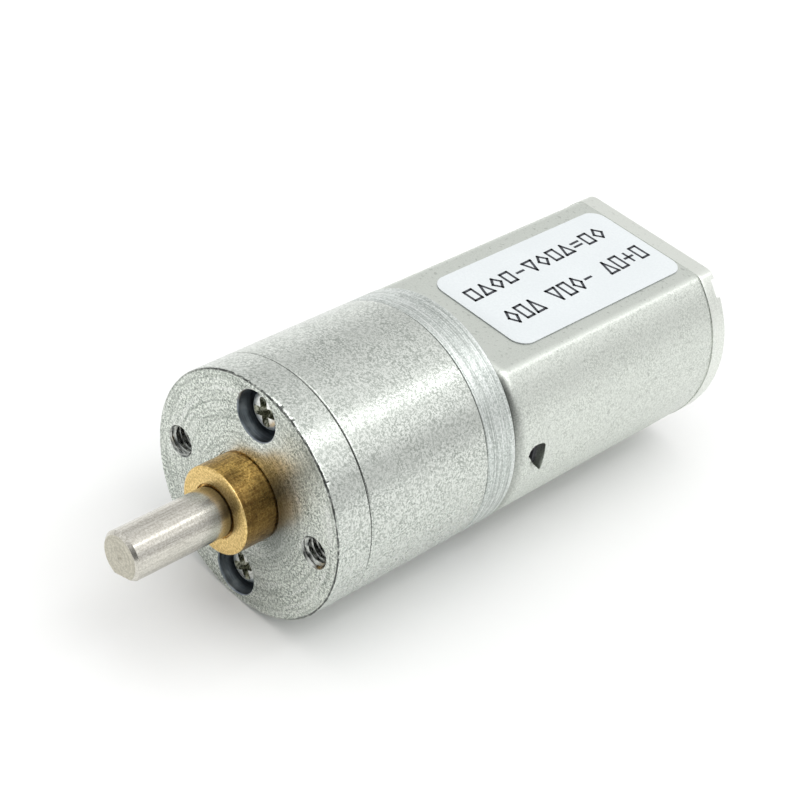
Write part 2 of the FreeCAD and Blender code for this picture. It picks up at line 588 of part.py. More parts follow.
# -------------------------------------------------------------------- rotor
nodes["rotor_shaft"] = lathe([
    (0, ROTOR_SHAFT_Y0), (ROTOR_SHAFT_R - 0.12, ROTOR_SHAFT_Y0), (ROTOR_SHAFT_R, ROTOR_SHAFT_Y0 + 0.12),
    (ROTOR_SHAFT_R, ROTOR_SHAFT_Y1 - 0.12), (ROTOR_SHAFT_R - 0.12, ROTOR_SHAFT_Y1), (0, ROTOR_SHAFT_Y1)])

ARM_HALF = 1.0
SHOE_R0 = 5.4
ROTOR_TURN = 90.0


def tri(make):
    out = []
    for i in range(3):
        s = make()
        s.rotate(Vector(0, 0, 0), YAX, -(ROTOR_TURN + 120 * i))
        out.append(s)
    return out


def pole_stack(y0, y1, r1, grow=0.0):
    # three T-shaped poles on a round hub
    body = cyl(2.1 + grow, y0, y1)
    for s in tri(lambda: box(0, SHOE_R0 + 0.2, y0, y1, -ARM_HALF - grow, ARM_HALF + grow)):
        body = body.fuse(s)
    for s in tri(lambda: sector(SHOE_R0, r1, -51, 51, y0, y1)):
        body = body.fuse(s)
    return tidy(body.cut(cyl(ROTOR_SHAFT_R, y0 - 1, y1 + 1)))


nodes["armature_core"] = pole_stack(CORE_Y0, CORE_Y1, CORE_R)
INS_T = 0.35
nodes["slot_insulators"] = Part.makeCompound([
    pole_stack(CORE_Y0 - INS_T, CORE_Y0, CORE_R - 0.15),
    pole_stack(CORE_Y1, CORE_Y1 + INS_T, CORE_R - 0.15)])


def coil():
    over = 1.25
    y0, y1 = CORE_Y0 - INS_T - over, CORE_Y1 + INS_T + over
    u0, u1, w = 2.25, 4.7, 2.35
    c = box(u0, u1, y0, y1, -w, w)
    c = c.makeFillet(0.55, [e for e in c.Edges
                            if e.BoundBox.XMax - e.BoundBox.XMin > 1 or
                            (e.BoundBox.YMax - e.BoundBox.YMin > 1 and e.BoundBox.XMin > u1 - 0.1)])
    return c.cut(box(u0 - 1, u1 + 1, CORE_Y0 - INS_T, CORE_Y1 + INS_T, -ARM_HALF, ARM_HALF))


nodes["windings"] = Part.makeCompound([tidy(s) for s in tri(coil)])
nodes["commutator_hub"] = tidy(lathe([
    (ROTOR_SHAFT_R, 36.3), (2.1, 36.3), (2.1, 36.9), (1.55, 36.9), (1.55, 41.0), (ROTOR_SHAFT_R, 41.0)]))


def segment():
    s = sector(1.55, 1.95, -56, 56, 37.5, 40.9)
    riser = sector(1.9, 2.6, -9, 9, 37.5, 37.9)
    return s.fuse(riser)


nodes["commutator_segments"] = Part.makeCompound([tidy(s) for s in tri(segment)])
nodes["varistor_disc"] = tidy(ring(3.3, 1.55, 36.95, 37.45))
nodes["rotor_washers"] = Part.makeCompound([
    tidy(ring(1.5, ROTOR_SHAFT_R, 19.95, 20.3)),
    tidy(ring(1.3, ROTOR_SHAFT_R, 41.6, 42.0))])
nodes["rotor_collar"] = tidy(ring(1.25, ROTOR_SHAFT_R, 20.3, 22.1))

# -------------------------------------------------------------------- label
lab = box(LABEL_X0, LABEL_X1, LABEL_Y0, LABEL_Y1, CAN_HALF, CAN_HALF + LABEL_T)
lab = lab.makeFillet(LABEL_R, [e for e in lab.Edges if e.BoundBox.ZMax - e.BoundBox.ZMin > LABEL_T / 2])
nodes["label"] = tidy(lab)

# ------------------------------------------------------------------- export
os.makedirs("parts", exist_ok=True)
for name, shape in nodes.items():
    for s in shape.Solids:
        if not s.isValid() or s.Volume <= 0:
            print("bad solid in", name)
    shape.exportStep(os.path.join("parts", name + ".step"))
    bb = shape.BoundBox
    print("%-22s solids %d volume %9.3f faces %4d  x %7.2f %7.2f  y %7.2f %7.2f  z %7.2f %7.2f" % (
        name, len(shape.Solids), shape.Volume, len(shape.Faces),
        bb.XMin, bb.XMax, bb.YMin, bb.YMax, bb.ZMin, bb.ZMax))
print(len(nodes), "nodes")
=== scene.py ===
import json
import math
import random

import bmesh
import bpy
from mathutils import Matrix, Vector, noise


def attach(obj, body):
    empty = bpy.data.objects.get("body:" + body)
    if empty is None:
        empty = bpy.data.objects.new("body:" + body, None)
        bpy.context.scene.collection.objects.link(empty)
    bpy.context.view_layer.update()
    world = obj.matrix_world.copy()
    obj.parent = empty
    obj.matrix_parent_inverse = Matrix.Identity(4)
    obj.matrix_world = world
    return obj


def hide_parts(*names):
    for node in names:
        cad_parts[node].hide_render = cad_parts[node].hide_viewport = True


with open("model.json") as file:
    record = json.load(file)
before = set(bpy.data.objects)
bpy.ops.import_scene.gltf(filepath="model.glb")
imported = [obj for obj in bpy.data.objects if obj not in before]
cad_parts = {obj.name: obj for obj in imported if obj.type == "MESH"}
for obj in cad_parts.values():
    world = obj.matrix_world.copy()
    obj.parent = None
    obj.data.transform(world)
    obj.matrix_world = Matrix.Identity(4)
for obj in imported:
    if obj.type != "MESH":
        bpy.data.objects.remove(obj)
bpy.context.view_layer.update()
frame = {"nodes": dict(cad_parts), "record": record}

MM = 0.001
TAU = 2 * math.pi
scene = bpy.context.scene
NODES = frame["nodes"]

# ------------------------------------------------------------------ dimensions
# millimetres, the same as the CAD model's; the shaft points along -Y
BOX_R, PLATE_Y1, CASE_Y1, REAR_Y1 = 10.0, 3.25, 15.4, 18.5
CAN_R, CAN_HALF, CAN_BEND, CAN_FRONT, CAN_WALL, CAN_Y1 = 9.95, 7.5, 1.1, 1.05, 0.8, 44.4
RIM_Y0, RIM_STEP = 42.8, 0.06
VENT = [(21.97, -1.16), (21.97, 1.40), (21.9, 1.56), (21.62, 1.71), (21.2, 1.79),
        (20.75, 1.80), (20.42, 1.70), (20.18, 1.48), (20.05, 1.12), (20.35, 0.72)]
HALF_PITCH = 7.5


# --------------------------------------------------------------- mesh builder
class Solid:
    """Collects rings of points in millimetres, the skins between them and flat caps."""

    def __init__(self):
        self.v, self.f, self.caps, self.mat = [], [], [], []
        self.current = 0

    def ring(self, pts):
        i = len(self.v)
        self.v.extend(pts)
        return list(range(i, i + len(pts)))

    def skin(self, a, b):
        n = len(a)
        for i in range(n):
            j = (i + 1) % n
            self.f.append((a[i], a[j], b[j], b[i]))
            self.mat.append(self.current)

    def fan(self, loop, centre):
        c = self.ring([centre])[0]
        n = len(loop)
        for i in range(n):
            self.f.append((loop[i], loop[(i + 1) % n], c))
            self.mat.append(self.current)

    def cap(self, *loops):
        self.caps.append((loops, self.current))

    def lathe(self, profile, n, cx=0.0, cz=0.0, turn=0.0):
        """Skins through circles of each (radius, y); returns the first and last ring."""
        rings = []
        for r, y in profile:
            rings.append(self.ring([(cx + r * math.cos(turn + TAU * i / n), y,
                                     cz + r * math.sin(turn + TAU * i / n)) for i in range(n)]))
        for a, b in zip(rings, rings[1:]):
            self.skin(a, b)
        return rings[0], rings[-1]

    def bm(self):
        bm = bmesh.new()
        vs = [bm.verts.new(p) for p in self.v]
        bm.verts.ensure_lookup_table()
        for f, m in zip(self.f, self.mat):
            face = bm.faces.new([vs[i] for i in f])
            face.material_index = m
        for loops, m in self.caps:
            edges = []
            for lp in loops:
                for i in range(len(lp)):
                    a, b = vs[lp[i]], vs[lp[(i + 1) % len(lp)]]
                    edges.append(bm.edges.get((a, b)) or bm.edges.new((a, b)))
            got = bmesh.ops.triangle_fill(bm, use_beauty=True, use_dissolve=False, edges=edges)
            for g in got["geom"]:
                if isinstance(g, bmesh.types.BMFace):
                    g.material_index = m
                    g.tag = True
        bmesh.ops.recalc_face_normals(bm, faces=bm.faces)
        return bm

    def mesh(self, name, sharp=33.0):
        bm = self.bm()
        me = bpy.data.meshes.new(name)
        shade(bm, sharp)
        bm.to_mesh(me)
        bm.free()
        return me


def shade(bm, sharp=33.0):
    """Smooth faces; edges sharp by angle and where a flat cap ends."""
    lim = math.radians(sharp)
    for f in bm.faces:
        f.smooth = True
    for e in bm.edges:
        if len(e.link_faces) == 2:
            a, b = e.link_faces
            flat_end = a.tag != b.tag
            e.smooth = not (flat_end or e.calc_face_angle(0.0) > lim)


def fillet(points, seg=5):
    """A polyline of (r, y) or (r, y, radius) with its inner corners rounded."""
    out = []
    n = len(points)
    for i, p in enumerate(points):
        if len(p) == 2 or i in (0, n - 1):
            out.append((p[0], p[1]))
            continue
        P = Vector(p[:2])
        u = (Vector(points[i - 1][:2]) - P).normalized()
        w = (Vector(points[i + 1][:2]) - P).normalized()
        half = math.acos(max(-1.0, min(1.0, u.dot(w)))) / 2
        t = p[2] / math.tan(half)
        c = P + (u + w).normalized() * (p[2] / math.sin(half))
        a, b = P + u * t - c, P + w * t - c
        a0, a1 = math.atan2(a.y, a.x), math.atan2(b.y, b.x)
        while a1 - a0 > math.pi:
            a1 -= TAU
        while a1 - a0 < -math.pi:
            a1 += TAU
        for k in range(seg + 1):
            ang = a0 + (a1 - a0) * k / seg
            out.append((c.x + p[2] * math.cos(ang), c.y + p[2] * math.sin(ang)))
    return out


def place(name, me, body, slot, mats, *nodes, scaled=False):
    """A finished mesh in millimetres becomes a piece of the object."""
    if not scaled:
        me.transform(Matrix.Scale(MM, 4))
    for m in mats:
        me.materials.append(m)
    o = bpy.data.objects.new(name, me)
    scene.collection.objects.link(o)
    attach(o, body)
    if nodes:
        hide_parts(*nodes)
    return o


def boolean(me, cutter_me, operation):
    """Exact boolean between two meshes in millimetres; returns the new mesh."""
    a = bpy.data.objects.new("tmp_a", me)
    b = bpy.data.objects.new("tmp_b", cutter_me)
    scene.collection.objects.link(a)
    scene.collection.objects.link(b)
    mod = a.modifiers.new("b", "BOOLEAN")
    mod.operation = operation
    mod.solver = "EXACT"
    mod.object = b
    bpy.context.view_layer.update()
    deps = bpy.context.evaluated_depsgraph_get()
    out = bpy.data.meshes.new_from_object(a.evaluated_get(deps))
    bpy.data.objects.remove(a)
    bpy.data.objects.remove(b)
    return out


def prism(poly, y0, y1):
    """Closed prism along Y from a list of (x, z)."""
    s = Solid()
    a = s.ring([(x, y0, z) for x, z in poly])
    b = s.ring([(x, y1, z) for x, z in poly])
    s.skin(a, b)
    s.cap(a)
    s.cap(b)
    return s


# ------------------------------------------------------------ material builder
class Nodes:
    def __init__(self, name):
        self.m = bpy.data.materials.new(name)
        self.m.use_nodes = True
        self.t = self.m.node_tree
        self.t.nodes.clear()
        self.out = self.t.nodes.new("ShaderNodeOutputMaterial")
        self.b = self.t.nodes.new("ShaderNodeBsdfPrincipled")
        self.t.links.new(self.b.outputs["BSDF"], self.out.inputs["Surface"])
        self.co = self.t.nodes.new("ShaderNodeTexCoord").outputs["Object"]

    def put(self, socket, value):
        if isinstance(value, bpy.types.NodeSocket):
            self.t.links.new(value, socket)
        else:
            socket.default_value = value

    def coords(self, sx=1.0, sy=1.0, sz=1.0, src=None):
        """Object coordinates in units of 1/scale millimetres."""
        n = self.t.nodes.new("ShaderNodeMapping")
        n.inputs["Scale"].default_value = (1000 * sx, 1000 * sy, 1000 * sz)
        self.t.links.new(src or self.co, n.inputs["Vector"])
        return n.outputs["Vector"]

    def noise(self, vec, scale=1.0, detail=2.0, rough=0.5, distort=0.0):
        n = self.t.nodes.new("ShaderNodeTexNoise")
        self.t.links.new(vec, n.inputs["Vector"])
        n.inputs["Scale"].default_value = scale
        n.inputs["Detail"].default_value = detail
        n.inputs["Roughness"].default_value = rough
        n.inputs["Distortion"].default_value = distort
        return n.outputs["Fac"]

    def cells(self, vec, scale=1.0, feature="F1"):
        n = self.t.nodes.new("ShaderNodeTexVoronoi")
        n.feature = feature
        self.t.links.new(vec, n.inputs["Vector"])
        n.inputs["Scale"].default_value = scale
        return n.outputs["Distance"]

    def math(self, op, a, b=0.0, clamp=False):
        n = self.t.nodes.new("ShaderNodeMath")
        n.operation = op
        n.use_clamp = clamp
        self.put(n.inputs[0], a)
        self.put(n.inputs[1], b)
        return n.outputs[0]

    def span(self, v, a, b, c=0.0, d=1.0):
        n = self.t.nodes.new("ShaderNodeMapRange")
        n.interpolation_type = "SMOOTHSTEP"
        self.put(n.inputs["Value"], v)
        for k, x in (("From Min", a), ("From Max", b), ("To Min", c), ("To Max", d)):
            n.inputs[k].default_value = x
        return n.outputs["Result"]

    def mix(self, fac, a, b, blend="MIX"):
        n = self.t.nodes.new("ShaderNodeMix")
        n.data_type = "RGBA"
        n.blend_type = blend
        self.put(n.inputs[0], fac)
        for sock, v in ((n.inputs[6], a), (n.inputs[7], b)):
            if isinstance(v, bpy.types.NodeSocket):
                self.t.links.new(v, sock)
            else:
                sock.default_value = (*v, 1.0)
        return n.outputs[2]

    def split(self, vec=None):
        n = self.t.nodes.new("ShaderNodeSeparateXYZ")
        self.t.links.new(vec or self.co, n.inputs[0])
        return n.outputs

    def join(self, x, y, z):
        n = self.t.nodes.new("ShaderNodeCombineXYZ")
        for i, v in enumerate((x, y, z)):
            self.put(n.inputs[i], v)
        return n.outputs[0]

    def radius(self, cx=0.0, cz=0.0):
        """Distance from the axis through (cx, cz), in metres."""
        s = self.split()
        x = self.math("SUBTRACT", s[0], cx * MM)
        z = self.math("SUBTRACT", s[2], cz * MM)
        return self.math("SQRT", self.math("ADD", self.math("MULTIPLY", x, x), self.math("MULTIPLY", z, z)))

    def bump(self, height, strength, distance, normal=None):
        n = self.t.nodes.new("ShaderNodeBump")
        n.inputs["Strength"].default_value = strength
        n.inputs["Distance"].default_value = distance * MM
        self.t.links.new(height, n.inputs["Height"])
        if normal is not None:
            self.t.links.new(normal, n.inputs["Normal"])
        return n.outputs["Normal"]

    def finish(self, color=None, rough=None, normal=None, metallic=0.0, **more):
        self.put(self.b.inputs["Metallic"], metallic)
        if color is not None:
            if isinstance(color, bpy.types.NodeSocket):
                self.t.links.new(color, self.b.inputs["Base Color"])
            else:
                self.b.inputs["Base Color"].default_value = (*color, 1.0)
        if rough is not None:
            self.put(self.b.inputs["Roughness"], rough)
        if normal is not None:
            self.t.links.new(normal, self.b.inputs["Normal"])
        for k, v in more.items():
            self.put(self.b.inputs[k.replace("_", " ")], v)
        return self.m


def zinc(name, light, dark, rough=0.34, contrast=1.0, lines=0.0, rings=0.0, bumpy=1.0, groove=None, size=1.0,
         marks_and_painted_light=None):
    """Bare blasted zinc alloy: a salt-and-pepper grain of about 0.1 mm over slow clouds,
    with optional tool marks. groove is the radius inside which painted shade darkens the seam;
    the last argument adds the marks, and the painted shade and painted reflection, of the one piece that uses them."""
    k = Nodes(name)
    p = k.coords()
    fine = k.noise(p, 4.8 * size, 1.0, 0.8)
    grain = k.noise(p, 10.0 * size, 1.0, 0.6)
    cloud = k.noise(p, 0.42, 3.0, 0.6)
    mott = k.math("ADD", k.math("MULTIPLY", fine, 0.55), k.math("MULTIPLY", grain, 0.45))
    tone = k.span(mott, 0.5 - 0.10 / contrast, 0.5 + 0.09 / contrast)
    if marks_and_painted_light == "can":
        # the flats keep the smooth surface of the sheet
        z = k.math("ABSOLUTE", k.split()[2])
        flat = k.span(z, (CAN_HALF - 0.30) * MM, (CAN_HALF - 0.02) * MM)
        tone = k.math("ADD", k.math("MULTIPLY", tone, k.math("SUBTRACT", 1.0, k.math("MULTIPLY", flat, 0.78))),
                      k.math("MULTIPLY", flat, 0.40))
    col = k.mix(tone, dark, light)
    col = k.mix(k.span(cloud, 0.32, 0.68, 0.0, 0.40), col, tuple(0.88 * c for c in light))
    deep = k.span(k.noise(p, 3.1, 2.0, 0.5), 0.60, 0.72, 0.0, 0.42)
    col = k.mix(deep, col, tuple(0.60 * c for c in dark))
    height = mott
    if lines:
        # circumferential tool marks of a turned wall
        thin = k.noise(k.coords(0.16, 17.0, 0.16), 1.0, 2.0, 0.7)
        wide = k.noise(k.coords(0.07, 4.5, 0.07), 1.0, 2.0, 0.6)
        both = k.math("ADD", k.math("MULTIPLY", thin, 0.6), k.math("MULTIPLY", wide, 0.4))
        col = k.mix(k.span(both, 0.38, 0.52, lines * 0.5, 0.0), col, tuple(0.55 * c for c in dark))
        col = k.mix(k.span(both, 0.52, 0.66, 0.0, lines * 0.5), col, tuple(min(0.92, 1.25 * c) for c in light))
        height = k.math("ADD", mott, k.math("MULTIPLY", both, 1.8 * lines))
    if rings:
        r = k.radius()
        s = k.split()
        q = k.join(k.math("MULTIPLY", r, 3400.0), k.math("MULTIPLY", s[0], 190.0), k.math("MULTIPLY", s[2], 190.0))
        marks = k.noise(q, 1.0, 2.0, 0.6)
        col = k.mix(k.span(marks, 0.36, 0.52, rings, 0.0), col, tuple(0.7 * c for c in dark))
        col = k.mix(k.span(marks, 0.54, 0.68, 0.0, rings * 0.8), col, tuple(min(0.9, 1.15 * c) for c in light))
        height = k.math("ADD", mott, k.math("MULTIPLY", marks, 0.5))
    if groove:
        # painted shade: the groove of each seam is darkened, broken up by noise
        dirt_and_shade = k.span(k.noise(p, 1.6, 2.0, 0.6), 0.25, 0.62, 0.55, 0.95)
        away = k.radius()
        seam_shade = k.math("MULTIPLY", k.span(away, (groove - 0.10) * MM, (groove - 0.025) * MM, 1.0, 0.0),
                      k.span(away, (groove - 0.34) * MM, (groove - 0.20) * MM))
        seam_shade = k.math("MULTIPLY", seam_shade, dirt_and_shade)
        col = k.mix(seam_shade, col, (0.055, 0.060, 0.055))
    if marks_and_painted_light == "face":
        # the machined edge is knocked and darkened in broken patches, most towards +X and +Z; to the +X side of the
        # bush the face carries a painted dark reflection of the bush and shaft
        r = k.radius()
        nick = k.span(k.noise(p, 1.9, 2.0, 0.6), 0.30, 0.56, 0.35, 1.0)
        q = k.split()
        rim = k.math("MULTIPLY", k.span(r, 9.80 * MM, 9.87 * MM), nick)
        rim = k.math("MULTIPLY", rim, k.span(k.math("ADD", q[0], q[2]), -7.0 * MM, 4.0 * MM, 0.12, 1.0))
        col = k.mix(rim, col, (0.075, 0.080, 0.075))
        # painted reflection: a dark patch on the face to the +X side of the bush
        painted_bush_reflection = k.math("MULTIPLY", k.span(r, 3.4 * MM, 6.9 * MM, 0.74, 0.0), k.span(q[0], 0.4 * MM, 3.8 * MM))
        col = k.mix(painted_bush_reflection, col, (0.11, 0.122, 0.113))
    if marks_and_painted_light == "can":
        # painted shade between the turned ring and the rolled front edge, on the arcs only
        s = k.split()
        arcs = k.span(z, 6.2 * MM, 7.1 * MM, 1.0, 0.0)
        ring_gap_shade = k.math("ADD", k.span(s[1], 18.50 * MM, 18.95 * MM, 0.55, 0.0), k.span(s[1], 18.7 * MM, 19.9 * MM, 0.42, 0.0))
        col = k.mix(k.math("MULTIPLY", ring_gap_shade, arcs), col, (0.07, 0.075, 0.07))
        # the calibrated rim is brighter than the wall
        col = k.mix(k.span(s[1], 42.78 * MM, 42.86 * MM, 0.0, 0.45), col, (0.90, 0.92, 0.87))
    rg = k.span(mott, 0.3, 0.7, rough + 0.07, rough - 0.05)
    nrm = k.bump(height, 0.55 * bumpy, 0.018)
    return k.finish(col, rg, nrm, 1.0)


MAT_FACE = zinc("zinc_face", (0.80, 0.835, 0.775), (0.21, 0.24, 0.21), 0.35, 1.2, rings=0.34, marks_and_painted_light="face")
MAT_CASE = zinc("zinc_case", (0.735, 0.765, 0.722), (0.35, 0.38, 0.347), 0.25, 1.0, groove=BOX_R, bumpy=0.8)
MAT_RING = zinc("zinc_turned", (0.73, 0.77, 0.742), (0.42, 0.46, 0.435), 0.33, 1.0, lines=1.2, groove=BOX_R)
MAT_CAN = zinc("plated_can", (0.75, 0.782, 0.732), (0.50, 0.53, 0.487), 0.37, 1.0, bumpy=0.6, size=1.25, marks_and_painted_light="can")


# painted shade: the counterbore walls are the face's zinc, coloured dark
def bore_shade_material():
    k = Nodes("bore_painted_shade")
    p = k.coords()
    n = k.noise(k.coords(0.4, 5.0, 0.4), 1.0, 3.0, 0.6)
    m = k.noise(p, 1.2, 2.0)
    col = k.mix(k.span(n, 0.35, 0.65), (0.15, 0.17, 0.195), (0.26, 0.295, 0.33))
    col = k.mix(k.span(m, 0.4, 0.7, 0.0, 0.6), col, (0.35, 0.39, 0.42))
    return k.finish(col, k.span(n, 0.3, 0.7, 0.32, 0.46), k.bump(n, 0.4, 0.01), 1.0)


MAT_BORE_SHADE = bore_shade_material()


def thread_material():
    k = Nodes("thread_cut")
    n = k.noise(k.coords(1.5, 6.0, 1.5), 1.0, 3.0, 0.6)
    col = k.mix(k.span(n, 0.35, 0.65), (0.13, 0.14, 0.135), (0.62, 0.64, 0.60))
    return k.finish(col, k.span(n, 0.3, 0.7, 0.22, 0.32), k.bump(n, 0.3, 0.008), 1.0)


MAT_THREAD = thread_material()


def turned_metal(name, light, dark, rough, axial=0.0, around=0.0, grain=0.3, dirt_and_shade=None, streaks_and_side_shade=None, root_shade=None,
                 bumpy=1.0, rings=0.0):
    """Turned or ground bright metal. axial and around are the strengths of the
    marks along and around the Y axis; rings is for a faced end."""
    k = Nodes(name)
    p = k.coords()
    g = k.noise(p, 6.0, 3.0, 0.6)
    parts = [k.math("MULTIPLY", g, grain)]
    if axial:
        a = k.noise(k.coords(7.0, 0.35, 7.0), 1.0, 3.0, 0.65)
        parts.append(k.math("MULTIPLY", a, axial))
    if around:
        a = k.noise(k.coords(0.25, 11.0, 0.25), 1.0, 3.0, 0.65)
        parts.append(k.math("MULTIPLY", a, around))
    if rings:
        s = k.split()
        q = k.join(k.math("MULTIPLY", k.radius(), 9000.0), k.math("MULTIPLY", s[0], 250.0),
                   k.math("MULTIPLY", s[2], 250.0))
        parts.append(k.math("MULTIPLY", k.noise(q, 1.0, 2.0, 0.6), rings))
    total = grain + axial + around + rings
    h = parts[0]
    for q in parts[1:]:
        h = k.math("ADD", h, q)
    h = k.math("DIVIDE", h, total)
    col = k.mix(k.span(h, 0.38, 0.62), dark, light)
    if dirt_and_shade:
        d = k.noise(k.coords(0.7, 1.3, 0.7), 1.0, 4.0, 0.65)
        col = k.mix(k.span(d, 0.45, 0.68, 0.0, 0.75), col, dirt_and_shade)
    if root_shade:
        # painted shade where the shaft comes out of its bush
        y = k.split()[1]
        col = k.mix(k.math("MULTIPLY", k.span(y, -4.3 * MM, -3.3 * MM, 0.0, 0.84), k.span(y, -3.0 * MM, -2.9 * MM, 1.0, 0.0)),
                    col, root_shade)
    if streaks_and_side_shade:
        d = k.noise(k.coords(4.2, 0.6, 4.2), 1.0, 3.0, 0.7)
        e = k.noise(k.coords(1.0, 2.2, 1.0), 1.0, 3.0, 0.65)
        col = k.mix(k.math("MULTIPLY", k.span(d, 0.42, 0.64, 0.0, 1.0), k.span(e, 0.38, 0.6, 0.25, 0.85)), col, streaks_and_side_shade)
        # painted shade: the side of the bush towards +X is darkened
        s = k.split()
        q = k.math("SUBTRACT", s[0], k.math("MULTIPLY", s[2], 0.45))
        col = k.mix(k.span(q, -1.0 * MM, 3.4 * MM, 0.0, 0.62), col, tuple(0.62 * c for c in streaks_and_side_shade))
    return k.finish(col, k.span(h, 0.3, 0.7, rough + 0.05, rough - 0.05), k.bump(h, 0.5 * bumpy, 0.010), 1.0)


MAT_BRASS_SIDE = turned_metal("bush_brass_side", (0.97, 0.63, 0.20), (0.40, 0.225, 0.065), 0.30,
                              axial=0.35, around=0.25, grain=0.9, streaks_and_side_shade=(0.24, 0.13, 0.04))
MAT_BRASS_FACE = turned_metal("bush_brass_face", (0.88, 0.66, 0.29), (0.56, 0.38, 0.13), 0.34, rings=0.25, grain=0.9)
MAT_SHAFT = turned_metal("shaft_steel", (0.69, 0.67, 0.61), (0.475, 0.455, 0.405), 0.21, axial=0.45, around=0.10,
                         grain=0.55, bumpy=0.5, root_shade=(0.13, 0.125, 0.115))
MAT_SHAFT_END = turned_metal("shaft_end", (0.57, 0.545, 0.46), (0.40, 0.38, 0.315), 0.33, rings=0.35, grain=0.6)
MAT_SCREW = turned_metal("screw_steel", (0.92, 0.93, 0.90), (0.68, 0.70, 0.66), 0.34, grain=1.0, bumpy=0.8)
# painted shade: the cross recess is the same steel as the head, coloured dark
MAT_RECESS_SHADE = turned_metal("screw_recess_painted_shade", (0.42, 0.43, 0.34), (0.07, 0.075, 0.05), 0.33, grain=1.0)


def label_material():
    k = Nodes("label_film")
    p = k.coords()
    n = k.noise(p, 5.0, 3.0, 0.6)
    c = k.noise(p, 0.25, 2.0, 0.5)
    col = k.mix(k.span(n, 0.35, 0.65), (0.685, 0.722, 0.735), (0.72, 0.758, 0.768))
    col = k.mix(k.span(c, 0.3, 0.7, 0.0, 0.35), col, (0.655, 0.692, 0.705))
    return k.finish(col, k.span(n, 0.3, 0.7, 0.36, 0.42), k.bump(n, 0.12, 0.004), 0.0, Coat_Weight=0.12, Coat_Roughness=0.3)


MAT_LABEL = label_material()


def print_material():
    k = Nodes("label_print")
    n = k.noise(k.coords(), 7.0, 3.0, 0.6)
    col = k.mix(k.span(n, 0.35, 0.65), (0.012, 0.014, 0.02), (0.035, 0.038, 0.05))
    return k.finish(col, k.span(n, 0.3, 0.7, 0.42, 0.52), k.bump(n, 0.1, 0.003), 0.0)


MAT_PRINT = print_material()


# painted shadow: the edge of the label's white film is coloured dark grey
def label_edge_shade_material():
    k = Nodes("label_edge_painted_shade")
    n = k.noise(k.coords(), 3.0, 3.0, 0.6)
    col = k.mix(k.span(n, 0.35, 0.65), (0.26, 0.28, 0.285), (0.38, 0.40, 0.405))
    return k.finish(col, k.span(n, 0.3, 0.7, 0.5, 0.6), k.bump(n, 0.2, 0.004), 0.0)


MAT_LABEL_EDGE_SHADE = label_edge_shade_material()


def plastic(name, light, dark, rough):
    k = Nodes(name)
    p = k.coords()
    n = k.noise(p, 8.0, 3.0, 0.6)
    c = k.noise(p, 0.8, 2.0, 0.5)
    col = k.mix(k.span(n, 0.3, 0.7), dark, light)
    col = k.mix(k.span(c, 0.35, 0.7, 0.0, 0.3), col, tuple(1.5 * x for x in light))
    return k.finish(col, k.span(n, 0.3, 0.7, rough - 0.05, rough + 0.07), k.bump(n, 0.35, 0.012), 0.0)


def wire_material():
    k = Nodes("enamelled_wire")
    s = k.split()
    w = k.t.nodes.new("ShaderNodeTexWave")
    w.bands_direction = "Y"
    w.inputs["Scale"].default_value = 1.3
    w.inputs["Distortion"].default_value = 1.2
    k.t.links.new(k.coords(), w.inputs["Vector"])
    f = w.outputs["Fac"]
    col = k.mix(k.span(f, 0.1, 0.8), (0.22, 0.07, 0.025), (0.62, 0.27, 0.10))
    return k.finish(col, k.span(f, 0.0, 1.0, 0.38, 0.24), k.bump(f, 0.8, 0.06), 1.0)


INNER = {
    "shim_steel": turned_metal("shim_steel", (0.62, 0.62, 0.61), (0.48, 0.48, 0.47), 0.3, around=0.6),
    "gear_steel": turned_metal("gear_steel", (0.50, 0.50, 0.50), (0.34, 0.34, 0.345), 0.3, around=0.3, axial=0.4,
                               dirt_and_shade=(0.22, 0.20, 0.16)),
    "gear_brass": turned_metal("gear_brass", (0.80, 0.60, 0.28), (0.62, 0.44, 0.18), 0.26, around=0.6),
    "bearing_bronze": turned_metal("bearing_bronze", (0.50, 0.35, 0.19), (0.30, 0.20, 0.10), 0.45, grain=1.0, bumpy=2.0),
    "ferrite": plastic("ferrite", (0.075, 0.075, 0.082), (0.04, 0.04, 0.045), 0.62),
    "spring_steel": turned_metal("spring_steel", (0.56, 0.56, 0.57), (0.40, 0.40, 0.42), 0.28, axial=0.7),
    "cap_plastic": plastic("cap_plastic", (0.030, 0.030, 0.033), (0.015, 0.015, 0.017), 0.48),
    "terminal_brass": turned_metal("terminal_brass", (0.80, 0.72, 0.52), (0.62, 0.53, 0.33), 0.28, axial=0.6),
    "carbon": plastic("carbon", (0.045, 0.045, 0.047), (0.02, 0.02, 0.021), 0.5),
    "core_steel": turned_metal("core_steel", (0.34, 0.34, 0.35), (0.20, 0.20, 0.21), 0.36, around=1.2, bumpy=2.0),
    "insulator": plastic("insulator", (0.50, 0.46, 0.33), (0.38, 0.34, 0.24), 0.6),
    "enamelled_wire": wire_material(),
    "copper": turned_metal("copper", (0.78, 0.42, 0.27), (0.58, 0.29, 0.17), 0.28, around=0.8),
    "varistor": plastic("varistor", (0.13, 0.16, 0.20), (0.08, 0.10, 0.13), 0.55),
    "shaft_steel": MAT_SHAFT,
    "screw_steel": MAT_SCREW,
}


# --------------------------------------------------------------- front plate
def holes_into(s, holes):
    """Skins every hole's wall; returns the loops that the two caps keep open."""
    front, back = [], []
    for h in holes:
        s.current = h.get("mat", 0)
        a, b = s.lathe(h["profile"], h["n"], h["x"], h["z"])
        front.append(a)
        if h.get("blind"):
            s.cap(b)
        else:
            back.append(b)
    s.current = 0
    return front, back


